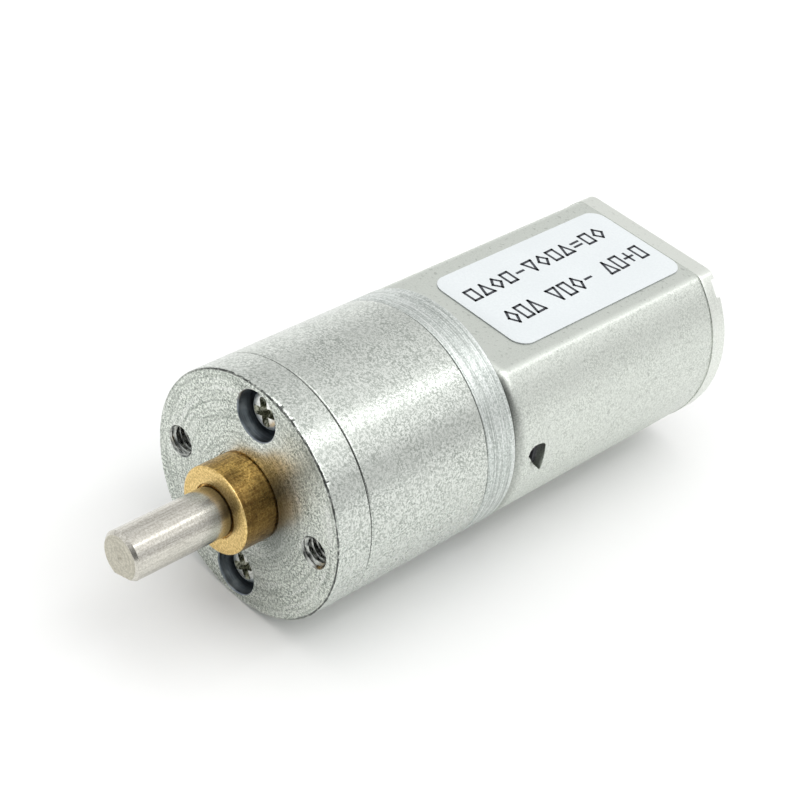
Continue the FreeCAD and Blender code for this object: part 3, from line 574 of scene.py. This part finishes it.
def thread_wall(s, cx, cz, y0, y1, minor, major, mouth, pitch=0.45, n=72):
    """A tapped hole: a helical groove, with a chamfer at its mouth."""
    s.current = 2
    rings = []
    steps = int((y1 - y0) / 0.03)
    for j in range(steps + 1):
        y = y0 + (y1 - y0) * j / steps
        pts = []
        for i in range(n):
            a = TAU * i / n
            ph = (y / pitch - i / n) % 1.0
            h = min(1.0, max(0.0, (abs(2 * ph - 1) - 0.14) / 0.68))
            r = max(minor + (major - minor) * h, mouth - (y - y0))
            if j == 0:
                r = mouth
            pts.append((cx + r * math.cos(a), y, cz + r * math.sin(a)))
        rings.append(s.ring(pts))
    for a, b in zip(rings, rings[1:]):
        s.skin(a, b)
    s.current = 0
    return rings[0], rings[-1]


def front_plate():
    s = Solid()
    prof = fillet([(9.4, 0.0), (BOX_R, 0.0, 0.14), (BOX_R, PLATE_Y1, 0.15), (9.6, PLATE_Y1)], 6)
    prof = prof[1:-1]
    prof = [(r, y) for r, y in prof]
    # extra rings along the wall, so that knocks can be put in it
    first = prof[:7]
    rest = prof[7:]
    mids = [(BOX_R, 0.14 + (PLATE_Y1 - 0.24) * t / 14) for t in range(1, 14)]
    prof = first + mids + rest
    a, b = s.lathe(prof, 720)
    front, back = holes_into(s, [
        {"x": 0, "z": 0, "n": 192, "profile": [(3.64, 0.0), (3.62, 0.02), (3.62, 0.15), (3.2, 0.15), (3.2, PLATE_Y1)]},
        {"x": 0, "z": HALF_PITCH, "n": 144, "mat": 1,
         "profile": [(2.09, 0.0), (2.05, 0.025), (2.01, 0.08), (2.0, 0.14), (2.0, 2.0), (1.08, 2.0), (1.08, PLATE_Y1)]},
        {"x": 0, "z": -HALF_PITCH, "n": 144, "mat": 1,
         "profile": [(2.09, 0.0), (2.05, 0.025), (2.01, 0.08), (2.0, 0.14), (2.0, 2.0), (1.08, 2.0), (1.08, PLATE_Y1)]},
    ])
    for sx in (HALF_PITCH, -HALF_PITCH):
        f, g = thread_wall(s, sx, 0, 0.0, PLATE_Y1, 1.04, 1.27, 1.31)
        front.append(f)
        back.append(g)
    s.cap(a, *front)
    s.cap(b, *back)
    # knocks along the edge of the mounting face and a few on the wall
    rng = random.Random(11)
    dents = []
    for _ in range(46):
        dents.append((math.radians(rng.uniform(38, 118)), rng.uniform(-0.02, 0.10),
                      rng.uniform(0.008, 0.028), rng.uniform(0.04, 0.13), rng.uniform(0.02, 0.075)))
    for _ in range(26):
        dents.append((rng.uniform(0, TAU), rng.uniform(-0.02, 0.12),
                      rng.uniform(0.006, 0.02), rng.uniform(0.04, 0.10), rng.uniform(0.01, 0.045)))
    for _ in range(10):
        dents.append((rng.uniform(0, TAU), rng.uniform(0.4, 3.0),
                      rng.uniform(0.008, 0.02), rng.uniform(0.05, 0.12), rng.uniform(0.01, 0.03)))
    out = []
    for x, y, z in s.v:
        r = math.hypot(x, z)
        if r > 9.7:
            a = math.atan2(z, x) % TAU
            for da, dy, wa, wy, depth in dents:
                d = (a - da + math.pi) % TAU - math.pi
                if abs(d) < 3 * wa and abs(y - dy) < 3 * wy:
                    f = depth * math.exp(-(d / wa) ** 2 - ((y - dy) / wy) ** 2)
                    k = (r - f) / r
                    x, z, r = x * k, z * k, r - f
        out.append((x, y, z))
    s.v = out
    place("front_plate_cast", s.mesh("front_plate_cast"), "housing", "zinc_alloy",
          [MAT_FACE, MAT_BORE_SHADE, MAT_THREAD, MAT_CASE], "front_plate")
    me = bpy.data.meshes["front_plate_cast"]
    for p in me.polygons:
        c = p.center
        if p.material_index == 0 and math.hypot(c.x, c.z) > 9.97 * MM:
            p.material_index = 3


front_plate()


# ----------------------------------------------------------------- gear case
def gear_case():
    s = Solid()
    prof = fillet([(9.5, PLATE_Y1), (BOX_R, PLATE_Y1, 0.17), (BOX_R, CASE_Y1, 0.14), (9.5, CASE_Y1)], 6)[1:-1]
    mids = [(BOX_R, PLATE_Y1 + 0.1 + (CASE_Y1 - PLATE_Y1 - 0.2) * t / 24) for t in range(1, 24)]
    prof = prof[:7] + mids + prof[7:]
    a, b = s.lathe(prof, 360)
    n = 360
    inner = []
    for y in (PLATE_Y1, CASE_Y1):
        pts = []
        for i in range(n):
            t = TAU * i / n
            phi = min(abs(t - math.pi / 2), abs(t - 1.5 * math.pi))
            r = 8.4
            if abs(math.sin(phi)) < 1.7 / 7.5 and phi < 1:
                r = 7.5 * math.cos(phi) - math.sqrt(max(0.0, 1.7 ** 2 - (7.5 * math.sin(phi)) ** 2))
            pts.append((r * math.cos(t), y, r * math.sin(t)))
        inner.append(s.ring(pts))
    s.skin(inner[0], inner[1])
    front, back = holes_into(s, [
        {"x": 0, "z": sz, "n": 48, "profile": [(1.08, PLATE_Y1), (1.08, CASE_Y1)]} for sz in (7.5, -7.5)])
    s.cap(a, inner[0], *front)
    s.cap(b, inner[1], *back)
    # faint hollows of a casting, and a few knocks
    rng = random.Random(5)
    dents = [(rng.uniform(0, TAU), rng.uniform(3.6, 15.0), rng.uniform(0.008, 0.02),
              rng.uniform(0.06, 0.16), rng.uniform(0.008, 0.02)) for _ in range(40)]
    out = []
    for x, y, z in s.v:
        r = math.hypot(x, z)
        if r > 9.95:
            t = math.atan2(z, x) % TAU
            k = (r + 0.006 * noise.noise(Vector((x * 0.22, y * 0.22, z * 0.22)))) / r
            for da, dy, wa, wy, depth in dents:
                d = (t - da + math.pi) % TAU - math.pi
                if abs(d) < 3 * wa and abs(y - dy) < 3 * wy:
                    k -= depth * math.exp(-(d / wa) ** 2 - ((y - dy) / wy) ** 2) / r
            x, z = x * k, z * k
        out.append((x, y, z))
    s.v = out
    place("gear_case_cast", s.mesh("gear_case_cast"), "housing", "zinc_alloy", [MAT_CASE], "gear_case")


gear_case()


# ---------------------------------------------------------------- rear plate
def rear_plate():
    s = Solid()
    rng = random.Random(3)
    prof = fillet([(9.5, CASE_Y1), (BOX_R, CASE_Y1, 0.13), (BOX_R, REAR_Y1, 0.22), (9.5, REAR_Y1)], 6)[1:-1]
    y = CASE_Y1 + 0.14
    mids = []
    while y < REAR_Y1 - 0.2:
        mids.append((BOX_R - rng.choice((0.0, 0.0, 0.003, 0.006, 0.012)) - rng.uniform(0, 0.004), y))
        y += rng.uniform(0.035, 0.085)
    prof = prof[:7] + mids + prof[7:]
    a, b = s.lathe(prof, 360)
    holes = [{"x": 0, "z": 0, "n": 96, "profile": [(2.2, CASE_Y1), (2.2, 16.95), (3.13, 16.95), (3.13, REAR_Y1)]}]
    for sx in (6.0, -6.0):
        holes.append({"x": sx, "z": 0, "n": 48,
                      "profile": [(1.75, CASE_Y1), (1.75, 16.6), (1.02, 16.6), (1.02, REAR_Y1)]})
    front, back = holes_into(s, holes)
    blind = [{"x": 0, "z": sz, "n": 48, "blind": True, "profile": [(1.0, CASE_Y1), (1.0, 18.2)]} for sz in (7.5, -7.5)]
    for sz in (2.25, -2.25):
        blind.append({"x": 3.897, "z": sz, "n": 32, "blind": True, "profile": [(0.61, CASE_Y1), (0.61, 17.32)]})
    f2, _ = holes_into(s, blind)
    s.cap(a, *front, *f2)
    s.cap(b, *back)
    place("rear_plate_turned", s.mesh("rear_plate_turned", 40), "housing", "zinc_alloy", [MAT_RING], "rear_plate")


rear_plate()


# --------------------------------------------------------- bush and shaft
def output_bush():
    s = Solid()
    rng = random.Random(8)
    s.current = 1
    front = fillet([(2.15, -2.8), (2.15, -3.0, 0.05), (3.5, -3.0, 0.14), (3.5, -2.6)], 5)
    ring0, ringf = s.lathe(front[:-1], 192)
    s.current = 0
    wall = [(3.5, -2.86)]
    y = -2.8
    while y < 0.1:
        wall.append((3.5 - rng.uniform(0, 0.005), y))
        y += rng.uniform(0.05, 0.11)
    wall += [(3.5, 0.15), (3.2, 0.15), (3.2, PLATE_Y1), (1.83, PLATE_Y1), (1.83, -2.8)]
    w0, w1 = s.lathe(wall, 192)
    s.skin(ringf, w0)
    s.skin(w1, ring0)
    bm = s.bm()
    bmesh.ops.remove_doubles(bm, verts=bm.verts, dist=1e-5)
    shade(bm, 40)
    me = bpy.data.meshes.new("output_bush_turned")
    bm.to_mesh(me)
    bm.free()
    place("output_bush_turned", me, "housing", "bush_brass", [MAT_BRASS_SIDE, MAT_BRASS_FACE], "output_bush")


output_bush()


def output_shaft():
    """Round shaft with one flat. The rows' corners fall on the edges of the flat."""
    R, F = 2.0, 1.5
    nrm = math.radians(-90 + 18.0)          # the flat's normal
    marks = [0.0]
    for rr in (2.0, 1.95, 1.9, 1.85, 1.8, 1.75):
        marks.append(math.acos(F / rr))
    base = [TAU * i / 240 - math.pi for i in range(240)]
    angles = sorted(set([round(b, 6) for b in base] + [round(m, 6) for m in marks] + [round(-m, 6) for m in marks]))

    def loop(r, y, cut=True):
        pts = []
        for t in angles:
            q = r
            if cut and r * math.cos(t) > F:
                q = F / math.cos(t)
            pts.append((q * math.cos(t + nrm), y, q * math.sin(t + nrm)))
        return pts

    s = Solid()
    tip = -11.6
    s.current = 1
    c = s.ring([(0, tip + 0.16, 0)])[0]
    rings = []
    rings.append(s.ring(loop(0.10, tip + 0.10, False)))
    rings.append(s.ring(loop(0.24, tip, False)))
    n = len(angles)
    for i in range(n):
        s.f.append((rings[0][i], rings[0][(i + 1) % n], c))
        s.mat.append(1)
    rng = random.Random(21)
    r = 0.34
    while r < 1.42:
        rings.append(s.ring(loop(r, tip + rng.choice((0.0, 0.0, 0.006, 0.010)), False)))
        r += rng.uniform(0.05, 0.10)
    rings.append(s.ring(loop(1.46, tip, False)))
    rings.append(s.ring(loop(1.74, tip)))
    for a, b in zip(rings, rings[1:]):
        s.skin(a, b)
    s.current = 0
    body = [s.ring(loop(1.76, tip + 0.012))]
    for k in range(1, 6):
        body.append(s.ring(loop(1.75 + 0.05 * k, tip + 0.05 * k)))
    y = tip + 0.4
    while y < -3.1:
        body.append(s.ring(loop(R, y)))
        y += 0.4
    body.append(s.ring(loop(R, -2.85)))
    body.append(s.ring(loop(1.8, -2.85, False)))
    body.append(s.ring(loop(1.8, 5.65, False)))
    body.append(s.ring(loop(1.7, 5.75, False)))
    s.skin(rings[-1], body[0])
    for a, b in zip(body, body[1:]):
        s.skin(a, b)
    s.cap(body[-1])
    place("output_shaft_ground", s.mesh("output_shaft_ground", 28), "output", "shaft_steel",
          [MAT_SHAFT, MAT_SHAFT_END], "output_shaft")


output_shaft()


# -------------------------------------------------------------- cover screws
def cross_cutter(cx, cz, y, turn):
    """Four tapering wings and a core, as one closed cutter."""
    s = Solid()
    # outline of a cross whose wings widen towards their tips, at depth fraction t
    def outline(t):
        half = 0.35 - 0.17 * t
        tip = 1.24 - 0.76 * t
        pts = []
        for k in range(4):
            a = turn + k * math.pi / 2
            for u, v in ((half * 1.0, -half), (tip - 0.16, -half * 1.12), (tip - 0.02, -half * 0.75),
                         (tip, half * 0.1), (tip - 0.05, half * 0.8), (tip - 0.2, half * 1.05)):
                pts.append((u, v, a))
        out = []
        for u, v, a in pts:
            out.append((cx + u * math.cos(a) - v * math.sin(a), cz + u * math.sin(a) + v * math.cos(a)))
        return out
    rings = []
    for t, yy in ((-0.15, y - 0.12), (0.0, y), (0.5, y + 0.33), (1.0, y + 0.66)):
        rings.append(s.ring([(x, yy, z) for x, z in outline(t)]))
    for a, b in zip(rings, rings[1:]):
        s.skin(a, b)
    s.cap(rings[0])
    s.fan(rings[-1], (cx, y + 0.82, cz))
    return s.mesh("cut")


def cover_screws():
    meshes = []
    for cz, turn in ((7.5, math.radians(20)), (-7.5, math.radians(33))):
        s = Solid()
        top = 0.8
        head = [(0.55, top), (0.9, top + 0.012), (1.15, top + 0.055), (1.34, top + 0.14), (1.48, top + 0.27),
                (1.575, top + 0.45), (1.61, top + 0.66), (1.62, top + 0.9), (1.62, 1.93), (1.58, 2.0),
                (0.97, 2.0), (0.97, 17.65), (0.72, 17.9)]
        a, b = s.lathe(head, 96, 0, cz)
        s.fan(a, (0, top - 0.003, cz))
        s.cap(b)
        me = s.mesh("head", 40)
        me = boolean(me, cross_cutter(0, cz, top, turn), "DIFFERENCE")
        meshes.append(me)
    bm = bmesh.new()
    for me in meshes:
        bm.from_mesh(me)
    for f in bm.faces:
        c = f.calc_center_median()
        cz = 7.5 if c.z > 0 else -7.5
        d = math.hypot(c.x, c.z - cz)
        deep = c.y > 0.84 + 0.22 * max(0.0, d - 0.8)
        f.material_index = 1 if (d < 1.27 and deep and c.y < 1.75 and abs(f.normal.y) < 0.995) else 0
    shade(bm, 30)
    me = bpy.data.meshes.new("cover_screws_cross")
    bm.to_mesh(me)
    bm.free()
    place("cover_screws_cross", me, "housing", "screw_steel", [MAT_SCREW, MAT_RECESS_SHADE], "cover_screws")


cover_screws()


# ------------------------------------------------------------------ motor can
def can_outline(nf=24, nb=12, na=84):
    """Points (x, z, nx, nz) round the can's section, counter-clockwise from +X."""
    rc, zc = CAN_BEND, CAN_HALF - CAN_BEND
    xc = math.sqrt((CAN_R - rc) ** 2 - zc ** 2)
    a1 = math.atan2(zc, xc)
    pts = []

    def arc(cx, cz, r, t0, t1, n):
        for i in range(n):
            t = t0 + (t1 - t0) * i / n
            pts.append((cx + r * math.cos(t), cz + r * math.sin(t), math.cos(t), math.sin(t)))

    arc(0, 0, CAN_R, -a1, a1, na)
    arc(xc, zc, rc, a1, math.pi / 2, nb)
    for i in range(nf):
        pts.append((xc - 2 * xc * i / nf, CAN_HALF, 0.0, 1.0))
    arc(-xc, zc, rc, math.pi / 2, math.pi - a1, nb)
    arc(0, 0, CAN_R, math.pi - a1, math.pi + a1, na)
    arc(-xc, -zc, rc, math.pi + a1, 1.5 * math.pi, nb)
    for i in range(nf):
        pts.append((-xc + 2 * xc * i / nf, -CAN_HALF, 0.0, -1.0))
    arc(xc, -zc, rc, 1.5 * math.pi, TAU - a1, nb)
    return pts


OUT = can_outline()


def offset_ring(s, d, y):
    """One ring of the can's section, d inside the outline; a step outwards stays off the flats."""
    pts = []
    for x, z, nx, nz in OUT:
        k = d if d >= 0 else d * min(1.0, max(0.0, (0.995 - abs(nz)) / 0.12))
        pts.append((x - k * nx, y, z - k * nz))
    return s.ring(pts)


def motor_can():
    s = Solid()
    rows = []
    for k in range(13):
        t = math.pi / 2 * k / 12
        rows.append((CAN_FRONT * (1 - math.sin(t)), REAR_Y1 + CAN_FRONT * (1 - math.cos(t))))
    y = REAR_Y1 + CAN_FRONT + 0.3
    while y < RIM_Y0 - 0.3:
        rows.append((0.0, y))
        y += 0.34
    rows += [(0.0, RIM_Y0 - 0.10), (0.02, RIM_Y0 - 0.05), (0.02, RIM_Y0 - 0.01), (-RIM_STEP + 0.015, RIM_Y0), (-RIM_STEP, RIM_Y0 + 0.03),
             (-RIM_STEP, 43.3), (-RIM_STEP, 43.8), (-RIM_STEP, 44.2), (-RIM_STEP, CAN_Y1 - 0.06),
             (-RIM_STEP + 0.02, CAN_Y1 - 0.02), (-RIM_STEP + 0.06, CAN_Y1),
             (CAN_WALL - 0.06, CAN_Y1), (CAN_WALL, CAN_Y1 - 0.08), (CAN_WALL, 40.0), (CAN_WALL, 30.0),
             (CAN_WALL, REAR_Y1 + CAN_WALL)]
    rings = [offset_ring(s, d, y) for d, y in rows]
    for a, b in zip(rings, rings[1:]):
        s.skin(a, b)
    f1, b1 = s.lathe([(3.1, REAR_Y1), (3.1, 17.1), (3.0, 17.0), (1.3, 17.0), (1.3, 17.5), (2.2, 17.5),
                      (2.2, REAR_Y1 + CAN_WALL)], 72)
    fr, bk = holes_into(s, [{"x": sx, "z": 0, "n": 40, "profile": [(0.98, REAR_Y1), (0.98, REAR_Y1 + CAN_WALL)]}
                            for sx in (6.0, -6.0)])
    s.cap(rings[0], f1, *fr)
    s.cap(rings[-1], b1, *bk)
    me = s.mesh("can")

    # vents, one in each side, and the notches in the rim
    cut = bmesh.new()
    for side in (1, -1):
        q = Solid()
        a = q.ring([(side * 7.2, y, side * z) for y, z in VENT])
        b = q.ring([(side * 11.5, y, side * z) for y, z in VENT])
        q.skin(a, b)
        q.cap(a)
        q.cap(b)
        cut.from_mesh(q.mesh("v"))
    for a0, a1 in ((35.0, 44.5), (135.5, 145.0), (215.0, 224.5), (315.5, 325.0)):
        poly = []
        for r in (9.13, 11.0):
            seq = range(9) if r < 10 else range(8, -1, -1)
            for i in seq:
                t = math.radians(a0 + (a1 - a0) * i / 8)
                poly.append((r * math.cos(t), r * math.sin(t)))
        cut.from_mesh(prism(poly, CAN_Y1 - 0.5, CAN_Y1 + 1).mesh("n"))
    cutter = bpy.data.meshes.new("cutter")
    cut.to_mesh(cutter)
    cut.free()
    me = boolean(me, cutter, "DIFFERENCE")

    # lugs pressed over the end cap beneath each notch
    lug = bmesh.new()
    for a0, a1 in ((35.6, 43.9), (136.1, 144.4), (215.6, 223.9), (316.1, 324.4)):
        poly = []
        for r in (8.4, 9.4):
            seq = range(7) if r < 9 else range(6, -1, -1)
            for i in seq:
                t = math.radians(a0 + (a1 - a0) * i / 6)
                poly.append((r * math.cos(t), r * math.sin(t)))
        lug.from_mesh(prism(poly, 43.75, 43.9).mesh("l"))
    lugs = bpy.data.meshes.new("lugs")
    lug.to_mesh(lugs)
    lug.free()
    me = boolean(me, lugs, "UNION")

    bm = bmesh.new()
    bm.from_mesh(me)
    # the metal below each vent's slanting edge is pushed inwards a little
    for v in bm.verts:
        for side in (1, -1):
            if v.co.x * side > 8.9 and 19.6 < v.co.y < 22.6:
                # distance beyond the slanting edge, away from the vent
                y, z = v.co.y, v.co.z * side
                nx_, nz_ = -0.760, -0.650
                d = (y - 20.05) * nx_ + (z - 1.12) * nz_
                along = (y - 20.05) * 0.650 + (z - 1.12) * -0.760
                if -0.05 < d < 0.9 and -0.5 < along < 3.6:
                    w = math.exp(-((d - 0.05) / 0.34) ** 2) * math.exp(-((along - 1.9) / 0.95) ** 2)
                    v.co.x -= side * 0.42 * w
    for f in bm.faces:
        f.tag = abs(f.normal.y) > 0.9999 and f.calc_area() > 0.4
    shade(bm, 30)
    out = bpy.data.meshes.new("motor_can_drawn")
    bm.to_mesh(out)
    bm.free()
    out.materials.clear()
    place("motor_can_drawn", out, "housing", "can_steel", [MAT_CAN], "motor_can")


motor_can()


# ---------------------------------------------------------------------- label
def rounded_rect(x0, x1, y0, y1, r, n=14, inset=0.0):
    pts = []
    x0, x1, y0, y1, r = x0 + inset, x1 - inset, y0 + inset, y1 - inset, r - inset
    for cx, cy, a0 in ((x1 - r, y1 - r, 0), (x0 + r, y1 - r, 90), (x0 + r, y0 + r, 180), (x1 - r, y0 + r, 270)):
        for i in range(n + 1):
            t = math.radians(a0 + 90 * i / n)
            pts.append((cx + r * math.cos(t), cy + r * math.sin(t)))
    return pts


def label():
    s = Solid()
    z0, z1 = CAN_HALF, CAN_HALF + 0.09
    rows = [(0.0, z0), (0.0, z1 - 0.025), (0.008, z1 - 0.008), (0.03, z1)]
    rings = [s.ring([(x, y, z) for x, y in rounded_rect(-5.0, 5.2, 22.6, 42.6, 1.4, inset=d)]) for d, z in rows]
    for i, (a, b) in enumerate(zip(rings, rings[1:])):
        s.current = 1 if i < 2 else 0
        s.skin(a, b)
    s.current = 0
    s.cap(rings[0])
    s.cap(rings[-1])
    place("label_sheet", s.mesh("label_sheet"), "housing", "label_film", [MAT_LABEL, MAT_LABEL_EDGE_SHADE], "label")

    # two rows of plain marks in place of any print: squares, diamonds, triangles, bars and crosses only
    p = Solid()
    za, zb = z1 - 0.004, z1 + 0.006

    def slab(poly):
        a = p.ring([(x, y, za) for x, y in poly])
        b = p.ring([(x, y, zb) for x, y in poly])
        p.skin(a, b)
        p.cap(a)
        p.cap(b)

    def stroke(ax, ay, bx, by, w):
        d = Vector((bx - ax, by - ay)).normalized()
        n = Vector((-d.y, d.x)) * (w / 2)
        slab([(ax + n.x, ay + n.y), (bx + n.x, by + n.y), (bx - n.x, by - n.y), (ax - n.x, ay - n.y)])

    # each row runs along +Y with a slight tilt; v is the height towards -X
    def row(x0, y0, x1, y1, glyphs, h, w):
        along = Vector((x1 - x0, y1 - y0))
        step = along.length / len(glyphs)
        along.normalize()
        up = Vector((-along.y, along.x))

        def line(at, *pts):
            q = [Vector((x0, y0)) + along * (at + u * step) + up * (v * h) for u, v in pts]
            for a, b in zip(q, q[1:]):
                d = (b - a).normalized() * (w * 0.5)
                stroke(a.x - d.x, a.y - d.y, b.x + d.x, b.y + d.y, w)

        for i, g in enumerate(glyphs):
            at = i * step
            if g == "#":
                line(at, (0.2, 0.07), (0.8, 0.07), (0.8, 0.93), (0.2, 0.93), (0.2, 0.07))
            elif g == "*":
                line(at, (0.5, 0.07), (0.84, 0.5), (0.5, 0.93), (0.16, 0.5), (0.5, 0.07))
            elif g == "^":
                line(at, (0.14, 0.07), (0.86, 0.07), (0.5, 0.93), (0.14, 0.07))
            elif g == "v":
                line(at, (0.14, 0.93), (0.86, 0.93), (0.5, 0.07), (0.14, 0.93))
            elif g == "-":
                line(at, (0.24, 0.5), (0.76, 0.5))
            elif g == "=":
                line(at, (0.2, 0.34), (0.8, 0.34))
                line(at, (0.2, 0.66), (0.8, 0.66))
            elif g == "+":
                line(at, (0.16, 0.5), (0.84, 0.5))
                line(at, (0.5, 0.18), (0.5, 0.44))
                line(at, (0.5, 0.56), (0.5, 0.82))

    row(-1.08, 23.67, -1.58, 40.78, "#^*#-v*#^=#*", 1.5, 0.24)
    row(2.90, 24.31, 2.34, 41.67, "*#^ v#*- ^#+#", 1.8, 0.24)
    o = place("label_marks", p.mesh("label_marks"), "housing", "label_film", [MAT_PRINT])
    return o


label()


# ---------------------------------------------------- CAD pieces that stay
SLOT_OF = {p["node"]: p["material_slot"] for p in frame["record"]["subparts"]}
for name, obj in NODES.items():
    m = INNER.get(SLOT_OF.get(name))
    if m is None:
        m = {"zinc_alloy": MAT_CASE, "can_steel": MAT_CAN, "bush_brass": MAT_BRASS_SIDE,
             "label_film": MAT_LABEL}.get(SLOT_OF.get(name), MAT_SHAFT)
    obj.data.materials.clear()
    obj.data.materials.append(m)


# ----------------------------------------------------------------- the studio
def floor():
    k = Nodes("studio_floor")
    n = k.noise(k.coords(0.02, 0.02, 0.02), 1.0, 3.0, 0.5)
    col = k.mix(k.span(n, 0.3, 0.7), (0.895, 0.90, 0.892), (0.905, 0.908, 0.902))
    m = k.finish(col, 0.7, None, 0.0, Specular_IOR_Level=0.15)
    me = bpy.data.meshes.new("floor")
    bm = bmesh.new()
    bmesh.ops.create_grid(bm, x_segments=4, y_segments=4, size=2.5)
    bm.to_mesh(me)
    bm.free()
    me.materials.append(m)
    o = bpy.data.objects.new("floor", me)
    o.location = (0, 0, -(BOX_R + 0.015) * MM)
    scene.collection.objects.link(o)


floor()


def studio_world():
    """A wide soft surround: two gradients round the object's long axis, one behind
    it and one in front, with the strip of a long softbox in the rear one."""
    w = bpy.data.worlds.new("studio")
    scene.world = w
    w.use_nodes = True
    t = w.node_tree
    t.nodes.clear()
    out = t.nodes.new("ShaderNodeOutputWorld")
    bg = t.nodes.new("ShaderNodeBackground")
    t.links.new(bg.outputs[0], out.inputs[0])
    sep = t.nodes.new("ShaderNodeSeparateXYZ")
    t.links.new(t.nodes.new("ShaderNodeTexCoord").outputs["Generated"], sep.inputs[0])

    def math_node(op, a, b=0.0, clamp=False):
        n = t.nodes.new("ShaderNodeMath")
        n.operation = op
        n.use_clamp = clamp
        for sock, v in ((n.inputs[0], a), (n.inputs[1], b)):
            if isinstance(v, bpy.types.NodeSocket):
                t.links.new(v, sock)
            else:
                sock.default_value = v
        return n.outputs[0]

    # angle round the Y axis: 0 at +X, 90 degrees overhead
    turn = math_node("ARCTAN2", sep.outputs[2], sep.outputs[0])
    place_ = math_node("ADD", math_node("DIVIDE", turn, TAU), 0.5)

    def ramp(stops):
        n = t.nodes.new("ShaderNodeValToRGB")
        n.color_ramp.interpolation = "EASE"
        els = n.color_ramp.elements
        while len(els) > 1:
            els.remove(els[-1])
        for i, (deg, v) in enumerate(stops):
            e = els[0] if i == 0 else els.new(deg / 360.0 + 0.5)
            e.position = deg / 360.0 + 0.5
            e.color = (v / 3.0, v / 3.0, v / 3.0, 1.0)
        t.links.new(place_, n.inputs[0])
        return n.outputs[0]

    back = ramp(BACK_STOPS)
    front = ramp(FRONT_STOPS)
    mixer = t.nodes.new("ShaderNodeMix")
    mixer.data_type = "RGBA"
    side = math_node("DIVIDE", math_node("ADD", sep.outputs[1], 0.22), 0.40, True)
    t.links.new(side, mixer.inputs[0])
    t.links.new(front, mixer.inputs[6])
    t.links.new(back, mixer.inputs[7])
    # the big diffuser overhead, a little to the right
    across = math_node("POWER", math_node("DIVIDE", sep.outputs[1], 0.42), 2.0)
    round_ = math_node("POWER", math_node("DIVIDE", math_node("SUBTRACT", turn, 1.25), 0.95), 2.0)
    lobe = math_node("MULTIPLY", math_node("SUBTRACT", 1.0, math_node("ADD", across, round_), True), TOP_GAIN / 3.0)
    total = t.nodes.new("ShaderNodeMix")
    total.data_type = "RGBA"
    total.blend_type = "ADD"
    total.inputs[0].default_value = 1.0
    t.links.new(mixer.outputs[2], total.inputs[6])
    t.links.new(lobe, total.inputs[7])
    t.links.new(total.outputs[2], bg.inputs["Color"])
    bg.inputs["Strength"].default_value = 3.0 * WORLD_GAIN


WORLD_GAIN = 1.0
TOP_GAIN = 2.1
BACK_STOPS = [(-180, 1.1), (-90, 0.95), (-12, 0.9), (4, 0.98), (12, 0.78), (26, 0.74), (36, 1.0), (42, 1.32), (52, 1.12),
              (60, 1.08), (64, 2.7), (69, 2.7), (73, 1.08), (90, 1.08), (100, 1.03), (115, 0.92), (130, 0.84),
              (145, 0.80), (158, 0.9), (170, 1.05), (180, 1.1)]
FRONT_STOPS = [(-180, 0.75), (-90, 0.8), (-14, 0.35), (8, 0.20), (28, 0.22), (52, 0.30), (78, 0.58), (102, 0.88),
               (128, 1.05), (150, 1.0), (168, 0.85), (180, 0.75)]
studio_world()
scene.view_settings.view_transform = "Standard"

cam_data = bpy.data.cameras.new("camera")
cam_data.sensor_width = 36.0
cam_data.lens = 89.895
cam_data.clip_start = 0.005
cam_data.clip_end = 20.0
cam_data.dof.use_dof = False
cam = bpy.data.objects.new("camera", cam_data)
right = Vector((0.68939775, 0.70958298, 0.14568024)).normalized()
down = Vector((0.52104097, -0.34603225, -0.78024226)).normalized()
fwd = right.cross(-down).normalized() * -1.0
if fwd.dot(Vector((-0.50323657, 0.61380264, -0.60827566))) < 0:
    fwd = -fwd
up = -down
m = Matrix.Identity(4)
for i in range(3):
    m[i][0], m[i][1], m[i][2] = right[i], up[i], -fwd[i]
m.translation = Vector((0.07789637, -0.07947477, 0.09629919))
cam.matrix_world = m
scene.collection.objects.link(cam)
scene.camera = cam
